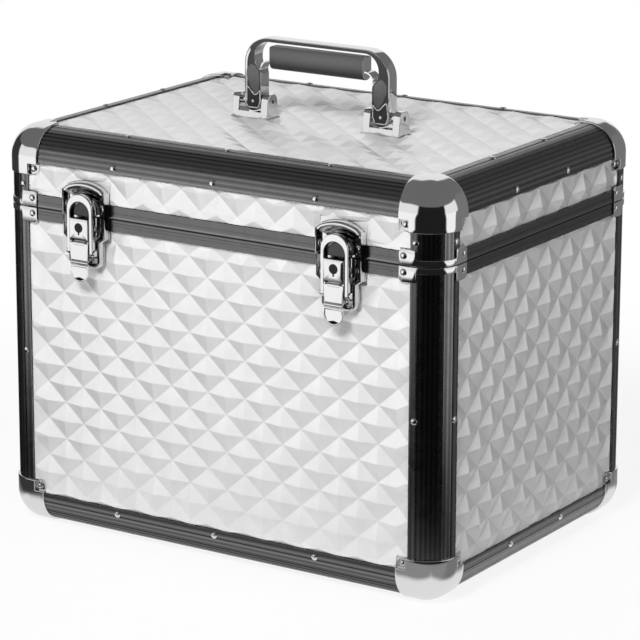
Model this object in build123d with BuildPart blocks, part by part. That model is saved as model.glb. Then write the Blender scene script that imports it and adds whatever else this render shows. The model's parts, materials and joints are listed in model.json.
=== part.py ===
from build123d import *
import math
import os

# Grooming box: a hard case with an embossed skin, black aluminium edges, chrome corners,
# two locking latches, a folding top handle, a lift-out tray and a hinged lid.
# Millimetres. X is the width, the front faces -Y, and the case stands on Z = 0.

os.makedirs("parts", exist_ok=True)

# Case, over the aluminium edges
case_width = 400.0
case_depth = 296.0
case_height = 320.0
base_height = 259.0

# Rounded edge extrusions
edge_face = 26.0
edge_round = 24.0
edge_wall = 2.0
channel_wall = 1.5
groove_angles = (-34.0, -12.0, -4.0, 4.0, 12.0, 34.0)
groove_width = 1.0
groove_depth = 0.6

# Boards and their embossed skin of pyramids
panel_recess = 3.0
skin_sheet = 0.6
board_thickness = 4.4
board_inset = 18.0
pyramid_width = 34.0
pyramid_height = 30.0
pyramid_relief = 3.5
fit_gap = 0.3

# Rim rails at the parting line
rim_height = 10.0
rim_web = 5.0
rim_wall = 1.6
rim_groove_width = 0.8
rim_groove_depth = 0.4
tongue_thickness = 2.0
tongue_height = 3.0
tongue_inset = 4.2
tongue_gap = 0.6

# Chrome corner caps and rim corner brackets
cap_sheet = 1.5
cap_reach = 36.0
ear_radius = 6.0
bracket_sheet = 1.0
bracket_reach = 35.0
bracket_start = 20.8
bracket_band = 5.2
bracket_height = 12.3

# Rivets
rivet_radius = 2.2
rivet_top = 1.3
rivet_dome = 1.3
rivet_edge = 4.5
front_rivet_pitch = 92.0
side_rivet_pitch = 78.0
ear_rivet = 31.0
bracket_rivet_base = 5.0
bracket_rivet_lid = 7.3

# Lining, lift-out tray and its ledges
lining_thickness = 2.0
lining_round = 10.0
lining_drop = 1.0
tray_wall = 2.0
tray_height = 46.0
tray_drop = 6.0
tray_side_gap = 11.0
tray_end_gap = 1.0
ledge_width = 9.0
ledge_thickness = 3.0
ledge_length = 300.0
divider_thickness = 1.8
divider_drop = 4.0
finger_hole_width = 70.0
finger_hole_height = 16.0

# Rear hinges
hinge_spacing = 232.0
hinge_width = 50.0
hinge_leaf_height = 24.0
hinge_sheet = 1.6
knuckle_radius = 3.6
knuckle_count = 5
hinge_pin_radius = 1.5
knuckle_gap = 0.3
running_gap = 0.05
hinge_pin_head = 1.2
hinge_head_radius = 2.4

# Lid stays
stay_radius = 80.0
stay_lid_angle = 15.0
stay_base_angle = 20.0
lid_angle = 95.0
stay_width = 12.0
stay_sheet = 1.5
stay_stud_radius = 2.5
stay_head_radius = 4.2
stay_head = 1.2
stay_gap = 0.7
stay_head_gap = 0.2
stay_slot_gap = 0.25
stay_tail = 5.0
bracket_plate = 1.2
stay_plate_width = 16.0
stay_plate_height = 22.0

# Latches
latch_spacing = 232.0
latch_width = 41.0
latch_neck = 31.0
latch_rim = 6.5
latch_sheet = 1.4
latch_gap = 0.6
latch_shoulder = 16.6
latch_shoulder_end = 20.3
latch_drop = 40.5
latch_corner = 6.0
keeper_side = 21.5
keeper_rise = 27.4
keeper_corner = 3.0
lock_half = 8.65
lock_front = 12.5
lock_drop = 17.0
keyhole_drop = 7.6
keyhole_radius = 3.8
keyhole_slit = 1.4
keyhole_slit_drop = 13.4
keyhole_depth = 1.0
plug_sink = 0.6
plug_length = 8.0
lever_sheet = 1.5
cheek_sheet = 1.2
barrel_radius = 3.0
barrel_drop = 20.5
sheet_lead = 1.0
lug_sheet = 1.5
lug_gap = 0.25
lug_radius = 2.2
lever_pin_radius = 1.2
cheek_drop = 37.0
cheek_depth = 8.5
flap_end = 33.2
bar_end = 37.0
tongue_end = 50.4
flap_taper = 0.7
bar_groove = 0.7
bail_inner = 9.0
bail_strap = 3.1
bail_depth = 6.0
bail_top = 18.5
bail_inner_top = 12.5
bail_pin_back = 1.2
bail_pin_drop = 6.5
bail_pin_radius = 1.5
bail_pin_head = 2.3
bail_head = 0.9
bail_edge_round = 1.0
hook_gap = 0.75
hook_front = 8.0
hook_bottom = 0.8
latch_rivet_out = 15.2
plate_rivet_drop = 10.0
keeper_rivet_rise = 7.0

# Top handle
handle_half_width = 67.0
handle_height = 65.6
handle_depth = 12.0
handle_sheet = 1.5
handle_corner = 22.0
handle_band = 3.2
handle_leg = 9.6
handle_foot = 15.5
handle_inner_round = 13.0
handle_neck_height = 44.0
handle_fork_height = 38.0
handle_foot_height = 22.0
handle_pivot_height = 14.0
handle_collar = 3.6
handle_pin_radius = 1.5
strap_top = 48.5
strap_depth = 10.0
strap_round = 7.5
grip_half_length = 43.5
grip_depth = 12.4
grip_bottom = 40.6
grip_gap = 3.2
grip_round = 5.6
mount_width = 36.0
mount_depth = 17.0
mount_top_depth = 11.6
mount_height = 19.8
mount_round = 5.0
mount_floor = 5.8
mount_slot = 20.5
mount_spacing = 122.0
mount_end_draft = 1.4

# Places that follow from the sizes above
z_floor = cap_sheet
z_parting = z_floor + base_height
z_top = z_floor + case_height
board_face = panel_recess + skin_sheet
board_back = board_face + board_thickness
liner_face = board_back + channel_wall
inside_face = liner_face + lining_thickness
half_width = case_width / 2
half_depth = case_depth / 2
hinge_y = half_depth + knuckle_radius + knuckle_gap
hinge_z = z_parting

FRONT = Plane(origin=(0, -half_depth, 0), x_dir=(1, 0, 0), z_dir=(0, -1, 0))
BACK = Plane(origin=(0, half_depth, 0), x_dir=(-1, 0, 0), z_dir=(0, 1, 0))
RIGHT = Plane(origin=(half_width, 0, 0), x_dir=(0, 1, 0), z_dir=(1, 0, 0))
LEFT = Plane(origin=(-half_width, 0, 0), x_dir=(0, -1, 0), z_dir=(-1, 0, 0))
TOP = Plane(origin=(0, 0, z_top), x_dir=(1, 0, 0), z_dir=(0, 0, 1))
BOTTOM = Plane(origin=(0, 0, z_floor), x_dir=(1, 0, 0), z_dir=(0, 0, -1))
LOW = (Align.MIN, Align.MIN, Align.MIN)
ON_FACE = (Align.CENTER, Align.CENTER, Align.MIN)


def save(piece, label):
    """Label a finished piece and write it under its own name."""
    piece.part.label = label
    export_step(piece.part, f"parts/{label}.step")


# Boards with their skin


def ridge_profile(reach):
    """Draw saw teeth whose crests lie one ridge pitch apart, over a solid back."""
    pitch = pyramid_width * pyramid_height / math.hypot(pyramid_width, pyramid_height)
    count = math.ceil(reach / pitch) + 1
    teeth = []
    for step in range(-2 * count, 2 * count + 1):
        height = pyramid_relief if step % 2 == 0 else 0.0
        teeth.append((step * pitch / 2, height))
    back = -(skin_sheet + board_thickness / 2)
    end = count * pitch
    with BuildLine() as outline:
        Polyline(teeth)
        Polyline([(end, pyramid_relief), (end, back), (-end, back), (-end, pyramid_relief)])
    make_face(outline.edges())


def area(low_u, low_v, high_u, high_v, mode=Mode.ADD):
    """Draw a rectangle given by its low and high corners."""
    with Locations(((low_u + high_u) / 2, (low_v + high_v) / 2)):
        Rectangle(high_u - low_u, high_v - low_v, mode=mode)


def skinned_board(board, window, peak, flats):
    """Make a board with pyramids in its window: two crossing runs of ridges, cut to the window.

    The board lies flat here, with the outer face of the case at Z = 0. Rectangles are
    (low u, low v, high u, high v), and the given peak is one near the window's middle. A flat
    is a place pressed level with the valleys, where fittings are riveted on.
    """
    reach = math.hypot(window[2] - window[0], window[3] - window[1]) / 2 + pyramid_width
    with BuildPart() as piece:
        for lean, mode in ((1, Mode.ADD), (-1, Mode.INTERSECT)):
            run = Vector(pyramid_width, lean * pyramid_height, 0).normalized()
            across = Vector(0, 0, 1).cross(run)
            with BuildSketch(Plane(origin=(*peak, -panel_recess), x_dir=across, z_dir=run)):
                ridge_profile(reach)
            extrude(amount=reach, both=True, mode=mode, clean=False)
        with BuildSketch():
            area(*window)
            for flat in flats:
                area(*flat, mode=Mode.SUBTRACT)
        extrude(amount=board_back, both=True, mode=Mode.INTERSECT, clean=False)
        with BuildSketch(Plane.XY.offset(-board_back)):
            area(*window)
        extrude(amount=board_back - panel_recess, clean=False)
        with BuildSketch(Plane.XY.offset(-board_back)):
            area(*board)
        extrude(amount=board_thickness)
    return piece


def place(piece, face, label):
    """Stand a flat board on a face of the case and save it."""
    with BuildPart() as standing:
        with Locations(face):
            add(piece.part)
    save(standing, label)


def corner_flats(window, corners, size_u, size_v):
    """List flats of one size in the named corners of a window: (0 or 1, 0 or 1) each."""
    flats = []
    for cu, cv in corners:
        u = window[2] - size_u if cu else window[0] - fit_gap
        v = window[3] - size_v if cv else window[1] - fit_gap
        flats.append((u, v, u + size_u + fit_gap, v + size_v + fit_gap))
    return flats


def side_flats(center, width, low, high):
    """Give the flats behind a pair of fittings, left and right, that run from low to high."""
    reach = width / 2 + fit_gap
    return [(x - reach, low, x + reach, high) for x in (-center, center)]


ear_flat = cap_reach - edge_face
tab_flat_u = bracket_reach - edge_face
tab_flat_v = bracket_height - rim_height
latch_x = latch_spacing / 2
hinge_x = hinge_spacing / 2
low_corners = ((0, 0), (1, 0))
high_corners = ((0, 1), (1, 1))

base_low = z_floor + edge_face + fit_gap
base_high = z_parting - rim_height - fit_gap
lid_low = z_parting + rim_height + fit_gap
lid_high = z_top - edge_face - fit_gap

boards = (
    ("front", half_width, (-6.6, 150.6), (4.0, 276.1), {"front": FRONT}),
    ("back", half_width, (0.0, 150.6), (0.0, 276.1), {"back": BACK}),
    ("side", half_depth, (-1.0, 126.6), (0.0, 279.0), {"left": LEFT, "right": RIGHT}),
)

for kind, half, base_peak, lid_peak, faces_of_kind in boards:
    window_half = half - edge_face - fit_gap
    board_half = half - board_inset
    base_window = (-window_half, base_low, window_half, base_high)
    base_flats = corner_flats(base_window, low_corners, ear_flat, ear_flat)
    base_flats += corner_flats(base_window, high_corners, tab_flat_u, tab_flat_v)
    lid_window = (-window_half, lid_low, window_half, lid_high)
    lid_flats = corner_flats(lid_window, high_corners, ear_flat, ear_flat)
    lid_flats += corner_flats(lid_window, low_corners, tab_flat_u, tab_flat_v)
    if kind == "front":
        knee = z_parting - latch_shoulder_end
        base_flats += side_flats(latch_x, latch_neck, z_parting - latch_drop - fit_gap, knee)
        base_flats += side_flats(latch_x, latch_width, knee, z_parting)
        lid_flats += side_flats(latch_x, latch_width, z_parting, z_parting + keeper_rise + fit_gap)
    if kind == "back":
        leaf_reach = hinge_leaf_height + fit_gap
        base_flats += side_flats(hinge_x, hinge_width, z_parting - leaf_reach, z_parting)
        lid_flats += side_flats(hinge_x, hinge_width, z_parting, z_parting + leaf_reach)
    base_board = (-board_half, z_floor + board_inset, board_half, z_parting - rim_web - fit_gap)
    lid_board = (-board_half, z_parting + rim_web + fit_gap, board_half, z_top - board_inset)
    base_panel = skinned_board(base_board, base_window, base_peak, base_flats)
    lid_panel = skinned_board(lid_board, lid_window, lid_peak, lid_flats)
    for side, face in faces_of_kind.items():
        place(base_panel, face, f"base_panel_{side}")
        place(lid_panel, face, f"lid_panel_{side}")

board_half_x = half_width - board_inset
board_half_y = half_depth - board_inset
top_half_x = half_width - edge_face - fit_gap
top_half_y = half_depth - edge_face - fit_gap
top_board = (-board_half_x, -board_half_y, board_half_x, board_half_y)
top_window = (-top_half_x, -top_half_y, top_half_x, top_half_y)
mount_edge = mount_depth / 2 + fit_gap
top_flats = corner_flats(top_window, low_corners + high_corners, ear_flat, ear_flat)
top_flats += side_flats(mount_spacing / 2, mount_width, -mount_edge, mount_edge)
top_panel = skinned_board(top_board, top_window, (4.0, 0.0), top_flats)
place(top_panel, TOP, "lid_panel_top")

with BuildPart() as base_panel_bottom:
    with BuildSketch(BOTTOM.offset(-board_back)):
        area(*top_board)
    extrude(amount=board_thickness)
save(base_panel_bottom, "base_panel_bottom")


# Rounded edge extrusions


def edge_section():
    """Draw the extrusion: a quarter round with ribs, and a channel for each of two boards."""
    center = (edge_round, edge_round)
    with BuildLine() as outline:
        Line((edge_face, 0), (edge_round, 0))
        CenterArc(center, edge_round, 270, -90)
        Polyline([(0, edge_round), (0, edge_face), (edge_wall, edge_face), (edge_wall, edge_round)])
        CenterArc(center, edge_round - edge_wall, 180, 90)
        Polyline([(edge_round, edge_wall), (edge_face, edge_wall), (edge_face, 0)])
    make_face(outline.edges())
    stop = board_inset - fit_gap
    web_start = stop - channel_wall
    web_foot = edge_wall + groove_depth
    web_size = (channel_wall, board_back + channel_wall - web_foot)
    leg_size = (edge_face - web_start, channel_wall)
    for turned in (False, True):
        web_at, leg_at = (web_start, web_foot), (web_start, board_back)
        web, leg = web_size, leg_size
        if turned:
            web_at, leg_at, web, leg = web_at[::-1], leg_at[::-1], web[::-1], leg[::-1]
        with Locations(web_at):
            Rectangle(*web, align=(Align.MIN, Align.MIN))
        with Locations(leg_at):
            Rectangle(*leg, align=(Align.MIN, Align.MIN))
    for angle in groove_angles:
        turn = math.radians(225 + angle)
        at = (edge_round * (1 + math.cos(turn)), edge_round * (1 + math.sin(turn)))
        with Locations(Location(at, 225 + angle)):
            Rectangle(2 * groove_depth, groove_width, mode=Mode.SUBTRACT)


def edge_bar(middle, inward_u, inward_v, length):
    """Add one length of extrusion whose outer corner runs through the middle point."""
    run = Vector(inward_u).cross(Vector(inward_v))
    with BuildSketch(Plane(origin=middle, x_dir=inward_u, z_dir=run)) as section:
        edge_section()
    extrude(section.sketch, amount=length / 2, both=True)


rail_x = case_width - 2 * edge_face
rail_y = case_depth - 2 * edge_face
for body, z_edge, z_in in (("base", z_floor, 1), ("lid", z_top, -1)):
    for side, sign in (("front", -1), ("back", 1)):
        with BuildPart() as rail:
            edge_bar((0, sign * half_depth, z_edge), (0, -sign, 0), (0, 0, z_in), rail_x)
        save(rail, f"{body}_rail_{side}")
    for side, sign in (("left", -1), ("right", 1)):
        with BuildPart() as rail:
            edge_bar((sign * half_width, 0, z_edge), (0, 0, z_in), (-sign, 0, 0), rail_y)
        save(rail, f"{body}_rail_{side}")

for body, z_start, z_end in (
    ("base", z_floor + edge_face, z_parting),
    ("lid", z_parting, z_top - edge_face),
):
    with BuildPart() as posts:
        for sx in (-1, 1):
            for sy in (-1, 1):
                middle = (sx * half_width, sy * half_depth, (z_start + z_end) / 2)
                edge_bar(middle, (-sx, 0, 0), (0, -sy, 0), z_end - z_start)
    save(posts, f"{body}_posts")


# Rim rails


def rim_bar(middle, inward, away, length, with_tongue):
    """Add one rim rail: it clips over the board's edge and meets the other rim face to face."""
    run = Vector(inward).cross(Vector(away))
    corner = (Align.MIN, Align.MIN)
    with BuildSketch(Plane(origin=middle, x_dir=inward, z_dir=run)) as section:
        Rectangle(liner_face, rim_height, align=corner)
        with Locations((rim_wall, rim_web)):
            Rectangle(board_back - rim_wall, rim_height, align=corner, mode=Mode.SUBTRACT)
        with Locations((0, rim_height / 2)):
            Rectangle(2 * rim_groove_depth, rim_groove_width, mode=Mode.SUBTRACT)
        if with_tongue:
            with Locations((tongue_inset, -tongue_height)):
                Rectangle(tongue_thickness, tongue_height + rim_wall, align=corner)
        else:
            with Locations((tongue_inset - tongue_gap, 0)):
                width = tongue_thickness + 2 * tongue_gap
                Rectangle(width, tongue_height + tongue_gap, align=corner, mode=Mode.SUBTRACT)
    extrude(section.sketch, amount=length / 2, both=True)


for body, away, with_tongue in (("base", (0, 0, -1), True), ("lid", (0, 0, 1), False)):
    with BuildPart() as rim:
        for sign in (-1, 1):
            rim_bar((0, sign * half_depth, z_parting), (0, -sign, 0), away, rail_x, with_tongue)
            rim_bar((sign * half_width, 0, z_parting), (-sign, 0, 0), away, rail_y, with_tongue)
    save(rim, f"{body}_rim")


# Chrome corner caps and rim corner brackets

CAP_FACES = (
    Plane(origin=(0, 0, 0), x_dir=(1, 0, 0), z_dir=(0, 0, 1)),
    Plane(origin=(0, 0, 0), x_dir=(0, 1, 0), z_dir=(1, 0, 0)),
    Plane(origin=(0, 0, 0), x_dir=(0, 0, 1), z_dir=(0, 1, 0)),
)


def rounded_block(sheet, reach, height, floor):
    """Add a block over a corner at the origin, grown outwards by a sheet's thickness."""
    with Locations((-sheet, -sheet, floor)):
        Box(reach + sheet, reach + sheet, height - floor, align=LOW)


with BuildPart() as cap_core:
    rounded_block(0, 2 * cap_reach, 2 * cap_reach, 0)
    fillet(cap_core.edges().sort_by_distance((0, 0, 0))[:3], edge_round)

with BuildPart() as corner_cap:
    rounded_block(cap_sheet, cap_reach, cap_reach, -cap_sheet)
    fillet(corner_cap.edges().sort_by_distance((0, 0, 0))[:3], edge_round + cap_sheet)
    add(cap_core.part, mode=Mode.SUBTRACT)
    for cap_face in CAP_FACES:
        with BuildSketch(cap_face.offset(-cap_sheet)) as ear:
            area(edge_face, edge_face, cap_reach, cap_reach)
            fillet(ear.vertices().group_by(Axis.X)[-1].sort_by(Axis.Y)[-1], ear_radius)
        extrude(amount=cap_sheet + panel_recess)
    for cap_face in CAP_FACES:
        ear_start = edge_face + cap_sheet
        with BuildSketch(cap_face.offset(-cap_sheet)):
            area(ear_start, ear_start, 2 * cap_reach, 2 * cap_reach)
        extrude(amount=panel_recess, mode=Mode.SUBTRACT)

with BuildPart() as bracket_core:
    rounded_block(0, 2 * bracket_reach, 2 * bracket_height, -bracket_height)
    fillet(bracket_core.edges().filter_by(Axis.Z).sort_by_distance((0, 0, 0))[0], edge_round)

with BuildPart() as rim_bracket:
    rounded_block(bracket_sheet, bracket_reach, bracket_height, 0)
    outer_edge = rim_bracket.edges().filter_by(Axis.Z).sort_by_distance((0, 0, 0))[0]
    fillet(outer_edge, edge_round + bracket_sheet)
    add(bracket_core.part, mode=Mode.SUBTRACT)
    with Locations((-bracket_sheet, -bracket_sheet, bracket_band)):
        open_side = bracket_start + bracket_sheet
        Box(open_side, open_side, bracket_height, align=LOW, mode=Mode.SUBTRACT)

for body, z_edge, upside_down in (("base", z_floor, False), ("lid", z_top, True)):
    with BuildPart() as caps:
        add(corner_cap.part)
        if upside_down:
            mirror(about=Plane.XY, mode=Mode.REPLACE)
    with BuildPart() as four_caps:
        with Locations((-half_width, -half_depth, z_edge)):
            add(caps.part)
        mirror(about=Plane.YZ)
        mirror(about=Plane.XZ)
    save(four_caps, f"{body}_corner_caps")

    with BuildPart() as bracket:
        add(rim_bracket.part)
        if not upside_down:
            mirror(about=Plane.XY, mode=Mode.REPLACE)
    with BuildPart() as four_brackets:
        with Locations((-half_width, -half_depth, z_parting)):
            add(bracket.part)
        mirror(about=Plane.YZ)
        mirror(about=Plane.XZ)
    save(four_brackets, f"{body}_rim_corners")


# Rivets


def rivet(place):
    """Add a rivet's head that stands on a plane."""
    with Locations(place):
        Cone(rivet_radius, rivet_top, rivet_dome, align=ON_FACE)


def edge_rivets(corner, along, depth, inward, places):
    """Add rivet heads along one rounded edge, on the face whose inward normal is depth."""
    along, depth, inward = Vector(along), Vector(depth), Vector(inward)
    lean = math.asin((edge_round - edge_face + rivet_edge) / edge_round)
    out = -(depth * math.cos(lean) + inward * math.sin(lean))
    axis = Vector(corner) + (depth + inward) * edge_round
    for place in places:
        rivet(Plane(origin=axis + out * edge_round + along * place, x_dir=along, z_dir=out))


def face_rivets(face, half, z_edge, z_in):
    """Add the rivets of the ears and rim brackets at both ends of one side."""
    bracket_v = bracket_rivet_base if z_in > 0 else bracket_rivet_lid
    for sign in (-1, 1):
        for out, v in (
            (-cap_sheet, z_edge + z_in * ear_rivet),
            (bracket_sheet, z_parting - z_in * bracket_v),
        ):
            spot = face.origin + face.x_dir * (sign * (half - ear_rivet)) + face.y_dir * v
            rivet(Plane(origin=spot + face.z_dir * out, x_dir=face.x_dir, z_dir=face.z_dir))


front_places = (-front_rivet_pitch, 0, front_rivet_pitch)
side_places = (-side_rivet_pitch / 2, side_rivet_pitch / 2)

for body, level, z_edge, z_in in (("base", BOTTOM, z_floor, 1), ("lid", TOP, z_top, -1)):
    post_middle = (z_edge + z_in * edge_face + z_parting) / 2
    plate_v = -plate_rivet_drop if z_in > 0 else keeper_rivet_rise
    with BuildPart() as rivets:
        for face, half in ((FRONT, half_width), (BACK, half_width), (LEFT, half_depth), (RIGHT, half_depth)):
            face_rivets(face, half, z_edge, z_in)
            places = front_places if half == half_width else side_places
            corner = Vector(face.origin.X, face.origin.Y, z_edge)
            up, depth = Vector(0, 0, z_in), -face.z_dir
            edge_rivets(corner, face.x_dir, depth, up, places)
            edge_rivets(corner, face.x_dir, up, depth, places)
            post = corner - face.x_dir * half
            edge_rivets(post, (0, 0, 1), depth, face.x_dir, [post_middle - z_edge])
            edge_rivets(post, (0, 0, 1), face.x_dir, depth, [post_middle - z_edge])
        for sx in (-1, 1):
            for sy in (-1, 1):
                x = sx * (half_width - ear_rivet)
                y = sy * (half_depth - ear_rivet)
                spot = Vector(x, y, z_edge + z_in * cap_sheet)
                rivet(Plane(origin=spot, x_dir=(1, 0, 0), z_dir=level.z_dir))
                plate_x = sx * latch_x + sy * latch_rivet_out
                spot = Vector(plate_x, -half_depth - latch_sheet, z_parting + plate_v)
                rivet(Plane(origin=spot, x_dir=FRONT.x_dir, z_dir=FRONT.z_dir))
    save(rivets, f"{body}_rivets")


# Lining of both halves

lining_x = case_width - 2 * liner_face
lining_y = case_depth - 2 * liner_face
inside_x = case_width - 2 * inside_face
inside_y = case_depth - 2 * inside_face
for body, z_edge, z_in in (("base", z_floor, 1), ("lid", z_top, -1)):
    z_shell = z_edge + z_in * liner_face
    z_hollow = z_edge + z_in * inside_face
    z_rim = z_parting - z_in * lining_drop
    with BuildPart() as lining:
        with BuildSketch(Plane.XY.offset(z_shell)):
            RectangleRounded(lining_x, lining_y, lining_round)
        extrude(amount=z_rim - z_shell)
        with BuildSketch(Plane.XY.offset(z_hollow)):
            RectangleRounded(inside_x, inside_y, lining_round - lining_thickness)
        extrude(amount=z_parting - z_hollow, mode=Mode.SUBTRACT)
    save(lining, f"{body}_lining")


# Lift-out tray

tray_x = inside_x - 2 * tray_side_gap
tray_y = inside_y - 2 * tray_end_gap
tray_floor = z_parting - tray_drop - tray_height

with BuildPart() as tray_ledges:
    with Locations((0, 0, tray_floor - ledge_thickness)):
        Box(ledge_length, inside_y, ledge_thickness, align=ON_FACE)
        Box(ledge_length, inside_y - 2 * ledge_width, ledge_thickness, align=ON_FACE, mode=Mode.SUBTRACT)
save(tray_ledges, "tray_ledges")

with BuildPart() as tray:
    with Locations((0, 0, tray_floor)):
        Box(tray_x, tray_y, tray_height, align=ON_FACE)
    with Locations((0, 0, tray_floor + tray_wall)):
        Box(
            tray_x - 2 * tray_wall, tray_y - 2 * tray_wall, tray_height,
            align=ON_FACE, mode=Mode.SUBTRACT,
        )
    hole_z = tray_floor + tray_height - tray_wall - finger_hole_height
    with BuildSketch(Plane(origin=(0, 0, hole_z), x_dir=(0, 1, 0), z_dir=(1, 0, 0))):
        SlotOverall(finger_hole_width, finger_hole_height)
    extrude(amount=tray_x, both=True, mode=Mode.SUBTRACT)
save(tray, "tray")

divider_height = tray_height - tray_wall - divider_drop
with BuildPart() as tray_dividers:
    with Locations((0, 0, tray_floor + tray_wall)):
        Box(tray_x - 2 * tray_wall, divider_thickness, divider_height, align=ON_FACE)
    for share in (-0.25, 0.0, 0.25):
        with Locations((share * tray_x, 0, tray_floor + tray_wall)):
            Box(divider_thickness, tray_y - 2 * tray_wall, divider_height, align=ON_FACE)
save(tray_dividers, "tray_dividers")


# Rear hinges

knuckle_pitch = hinge_width / knuckle_count
finger = knuckle_radius + 2 * knuckle_gap


def hinge_half(z_in, turns):
    """Add both leaves of one half of the hinges; z_in is +1 for the base's and -1 for the lid's."""
    leaf_v = z_parting - z_in * (finger + hinge_leaf_height) / 2
    pad_low = rim_height + fit_gap
    pad_v = z_parting - z_in * (pad_low + hinge_leaf_height) / 2
    for sign in (-1, 1):
        with BuildSketch(BACK) as leaf:
            with Locations((sign * hinge_x, leaf_v)):
                Rectangle(hinge_width, hinge_leaf_height - finger)
        extrude(leaf.sketch, amount=hinge_sheet)
        with BuildSketch(BACK.offset(-panel_recess)) as packing:
            with Locations((sign * hinge_x, pad_v)):
                Rectangle(hinge_width, hinge_leaf_height - pad_low)
        extrude(packing.sketch, amount=panel_recess)
        for turn in turns:
            u = sign * hinge_x + (turn - (knuckle_count - 1) / 2) * knuckle_pitch
            width = knuckle_pitch - knuckle_gap
            with BuildSketch(BACK) as neck:
                with Locations((u, z_parting - z_in * finger / 2)):
                    Rectangle(width, finger)
            extrude(neck.sketch, amount=hinge_sheet)
            with Locations(Location((-u, hinge_y, hinge_z), (0, 90, 0))):
                Cylinder(knuckle_radius, width)
        with Locations(Location((-sign * hinge_x, hinge_y, hinge_z), (0, 90, 0))):
            Cylinder(hinge_pin_radius + running_gap, 2 * hinge_width, mode=Mode.SUBTRACT)


with BuildPart() as hinge_base_leaves:
    hinge_half(1, range(0, knuckle_count, 2))
save(hinge_base_leaves, "hinge_base_leaves")

with BuildPart() as hinge_lid_leaves:
    hinge_half(-1, range(1, knuckle_count, 2))
save(hinge_lid_leaves, "hinge_lid_leaves")

with BuildPart() as hinge_pins:
    for sign in (-1, 1):
        with Locations(Location((sign * hinge_x, hinge_y, hinge_z), (0, 90, 0))):
            Cylinder(hinge_pin_radius, hinge_width)
            with Locations((0, 0, hinge_width / 2), (0, 0, -hinge_width / 2 - hinge_pin_head)):
                Cylinder(hinge_head_radius, hinge_pin_head, align=ON_FACE)
save(hinge_pins, "hinge_pins")


# Lid stays: a slotted arm on each side turns on the lid and slides on the base's stud


def turned(radius, angle):
    """Give the (y, z) point at an angle above the forward direction, seen from the hinge."""
    turn = math.radians(angle)
    return (hinge_y - radius * math.cos(turn), hinge_z + radius * math.sin(turn))


stay_on_lid = turned(stay_radius, stay_lid_angle)
stay_on_base = turned(stay_radius, -stay_base_angle)
stay_spread = stay_lid_angle + stay_base_angle
span_closed = 2 * stay_radius * math.sin(math.radians(stay_spread / 2))
span_open = 2 * stay_radius * math.sin(math.radians((stay_spread + lid_angle) / 2))
stay_run = math.atan2(stay_on_base[1] - stay_on_lid[1], stay_on_base[0] - stay_on_lid[0])
stay_turn = math.degrees(stay_run)
wall_x = half_width - inside_face
plate_x = wall_x - bracket_plate
arm_x = plate_x - stay_gap - stay_sheet
head_x = arm_x - stay_head_gap - stay_head


def side_plane(x, point=(0, 0)):
    """Give a plane that looks along +X, so that its own axes are Y and Z."""
    return Plane(origin=(x, *point), x_dir=(0, 1, 0), z_dir=(1, 0, 0))


for side, sign in (("left", -1), ("right", 1)):
    arm_middle = sign * (arm_x + stay_sheet / 2)
    with BuildPart() as stay:
        with BuildSketch(side_plane(arm_middle, stay_on_lid)):
            with Locations(Location((0, 0), stay_turn)):
                with Locations(((span_open + stay_tail) / 2, 0)):
                    SlotCenterToCenter(span_open + stay_tail, stay_width)
                with Locations(((span_closed + span_open) / 2, 0)):
                    SlotCenterToCenter(
                        span_open - span_closed, 2 * (stay_stud_radius + stay_slot_gap),
                        mode=Mode.SUBTRACT,
                    )
                Circle(stay_stud_radius + running_gap, mode=Mode.SUBTRACT)
        extrude(amount=stay_sheet / 2, both=True)
    save(stay, f"stay_{side}")

for body, point in (("base", stay_on_base), ("lid", stay_on_lid)):
    with BuildPart() as brackets:
        for sign in (-1, 1):
            with BuildSketch(side_plane(sign * (plate_x + bracket_plate / 2), point)):
                Rectangle(stay_plate_width, stay_plate_height)
            extrude(amount=bracket_plate / 2, both=True)
            with BuildSketch(side_plane(sign * (head_x + plate_x) / 2, point)):
                Circle(stay_stud_radius)
            extrude(amount=(plate_x - head_x) / 2, both=True)
            with BuildSketch(side_plane(sign * (head_x + stay_head / 2), point)):
                Circle(stay_head_radius)
            extrude(amount=stay_head / 2, both=True)
    save(brackets, f"stay_{body}_brackets")


# Latches

lever_out = lock_front - barrel_radius
bail_out = lever_out - bail_pin_back
bail_outer = bail_inner + bail_strap
hook_half = bail_inner - hook_gap
pad_start = rim_height + fit_gap
lug_x = lock_half - cheek_sheet - lug_gap - lug_sheet / 2


def plate_outline():
    """Draw the front of the base's latch plate: wide at the rim, narrow below its shoulders."""
    half, neck = latch_width / 2, latch_neck / 2
    with BuildLine() as outline:
        Polyline(
            [
                (-half, -latch_gap), (-half, -latch_shoulder), (-neck, -latch_shoulder_end),
                (-neck, -latch_drop), (neck, -latch_drop), (neck, -latch_shoulder_end),
                (half, -latch_shoulder), (half, -latch_gap),
            ],
            close=True,
        )
    make_face(outline.edges())
    fillet(vertices().group_by(Axis.Y)[0], latch_corner)


def keeper_outline():
    """Draw the front of the lid's keeper plate, with its arched top."""
    half = latch_width / 2
    with BuildLine() as outline:
        ThreePointArc((-half, keeper_side), (0, keeper_rise), (half, keeper_side))
        Polyline([(half, keeper_side), (half, latch_gap), (-half, latch_gap), (-half, keeper_side)])
    make_face(outline.edges())
    fillet(vertices().filter_by_position(Axis.Y, keeper_side - 1, keeper_side + 1), keeper_corner)


def dished_plate(face, outline, v_open):
    """Add a plate with a raised rim that is open at the parting line and packed behind."""
    with BuildSketch(face) as plate:
        outline()
    extrude(plate.sketch, amount=latch_rim)
    with BuildSketch(face.offset(-panel_recess)) as packing:
        outline()
        Rectangle(2 * latch_width, 2 * pad_start, mode=Mode.SUBTRACT)
    extrude(packing.sketch, amount=panel_recess)
    with BuildSketch(face.offset(latch_sheet)) as dish:
        outline()
        offset(amount=-latch_sheet, mode=Mode.REPLACE)
        with Locations((0, v_open)):
            Rectangle(latch_width - 2 * latch_sheet, 4 * latch_sheet)
    extrude(dish.sketch, amount=latch_rim, mode=Mode.SUBTRACT)


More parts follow.
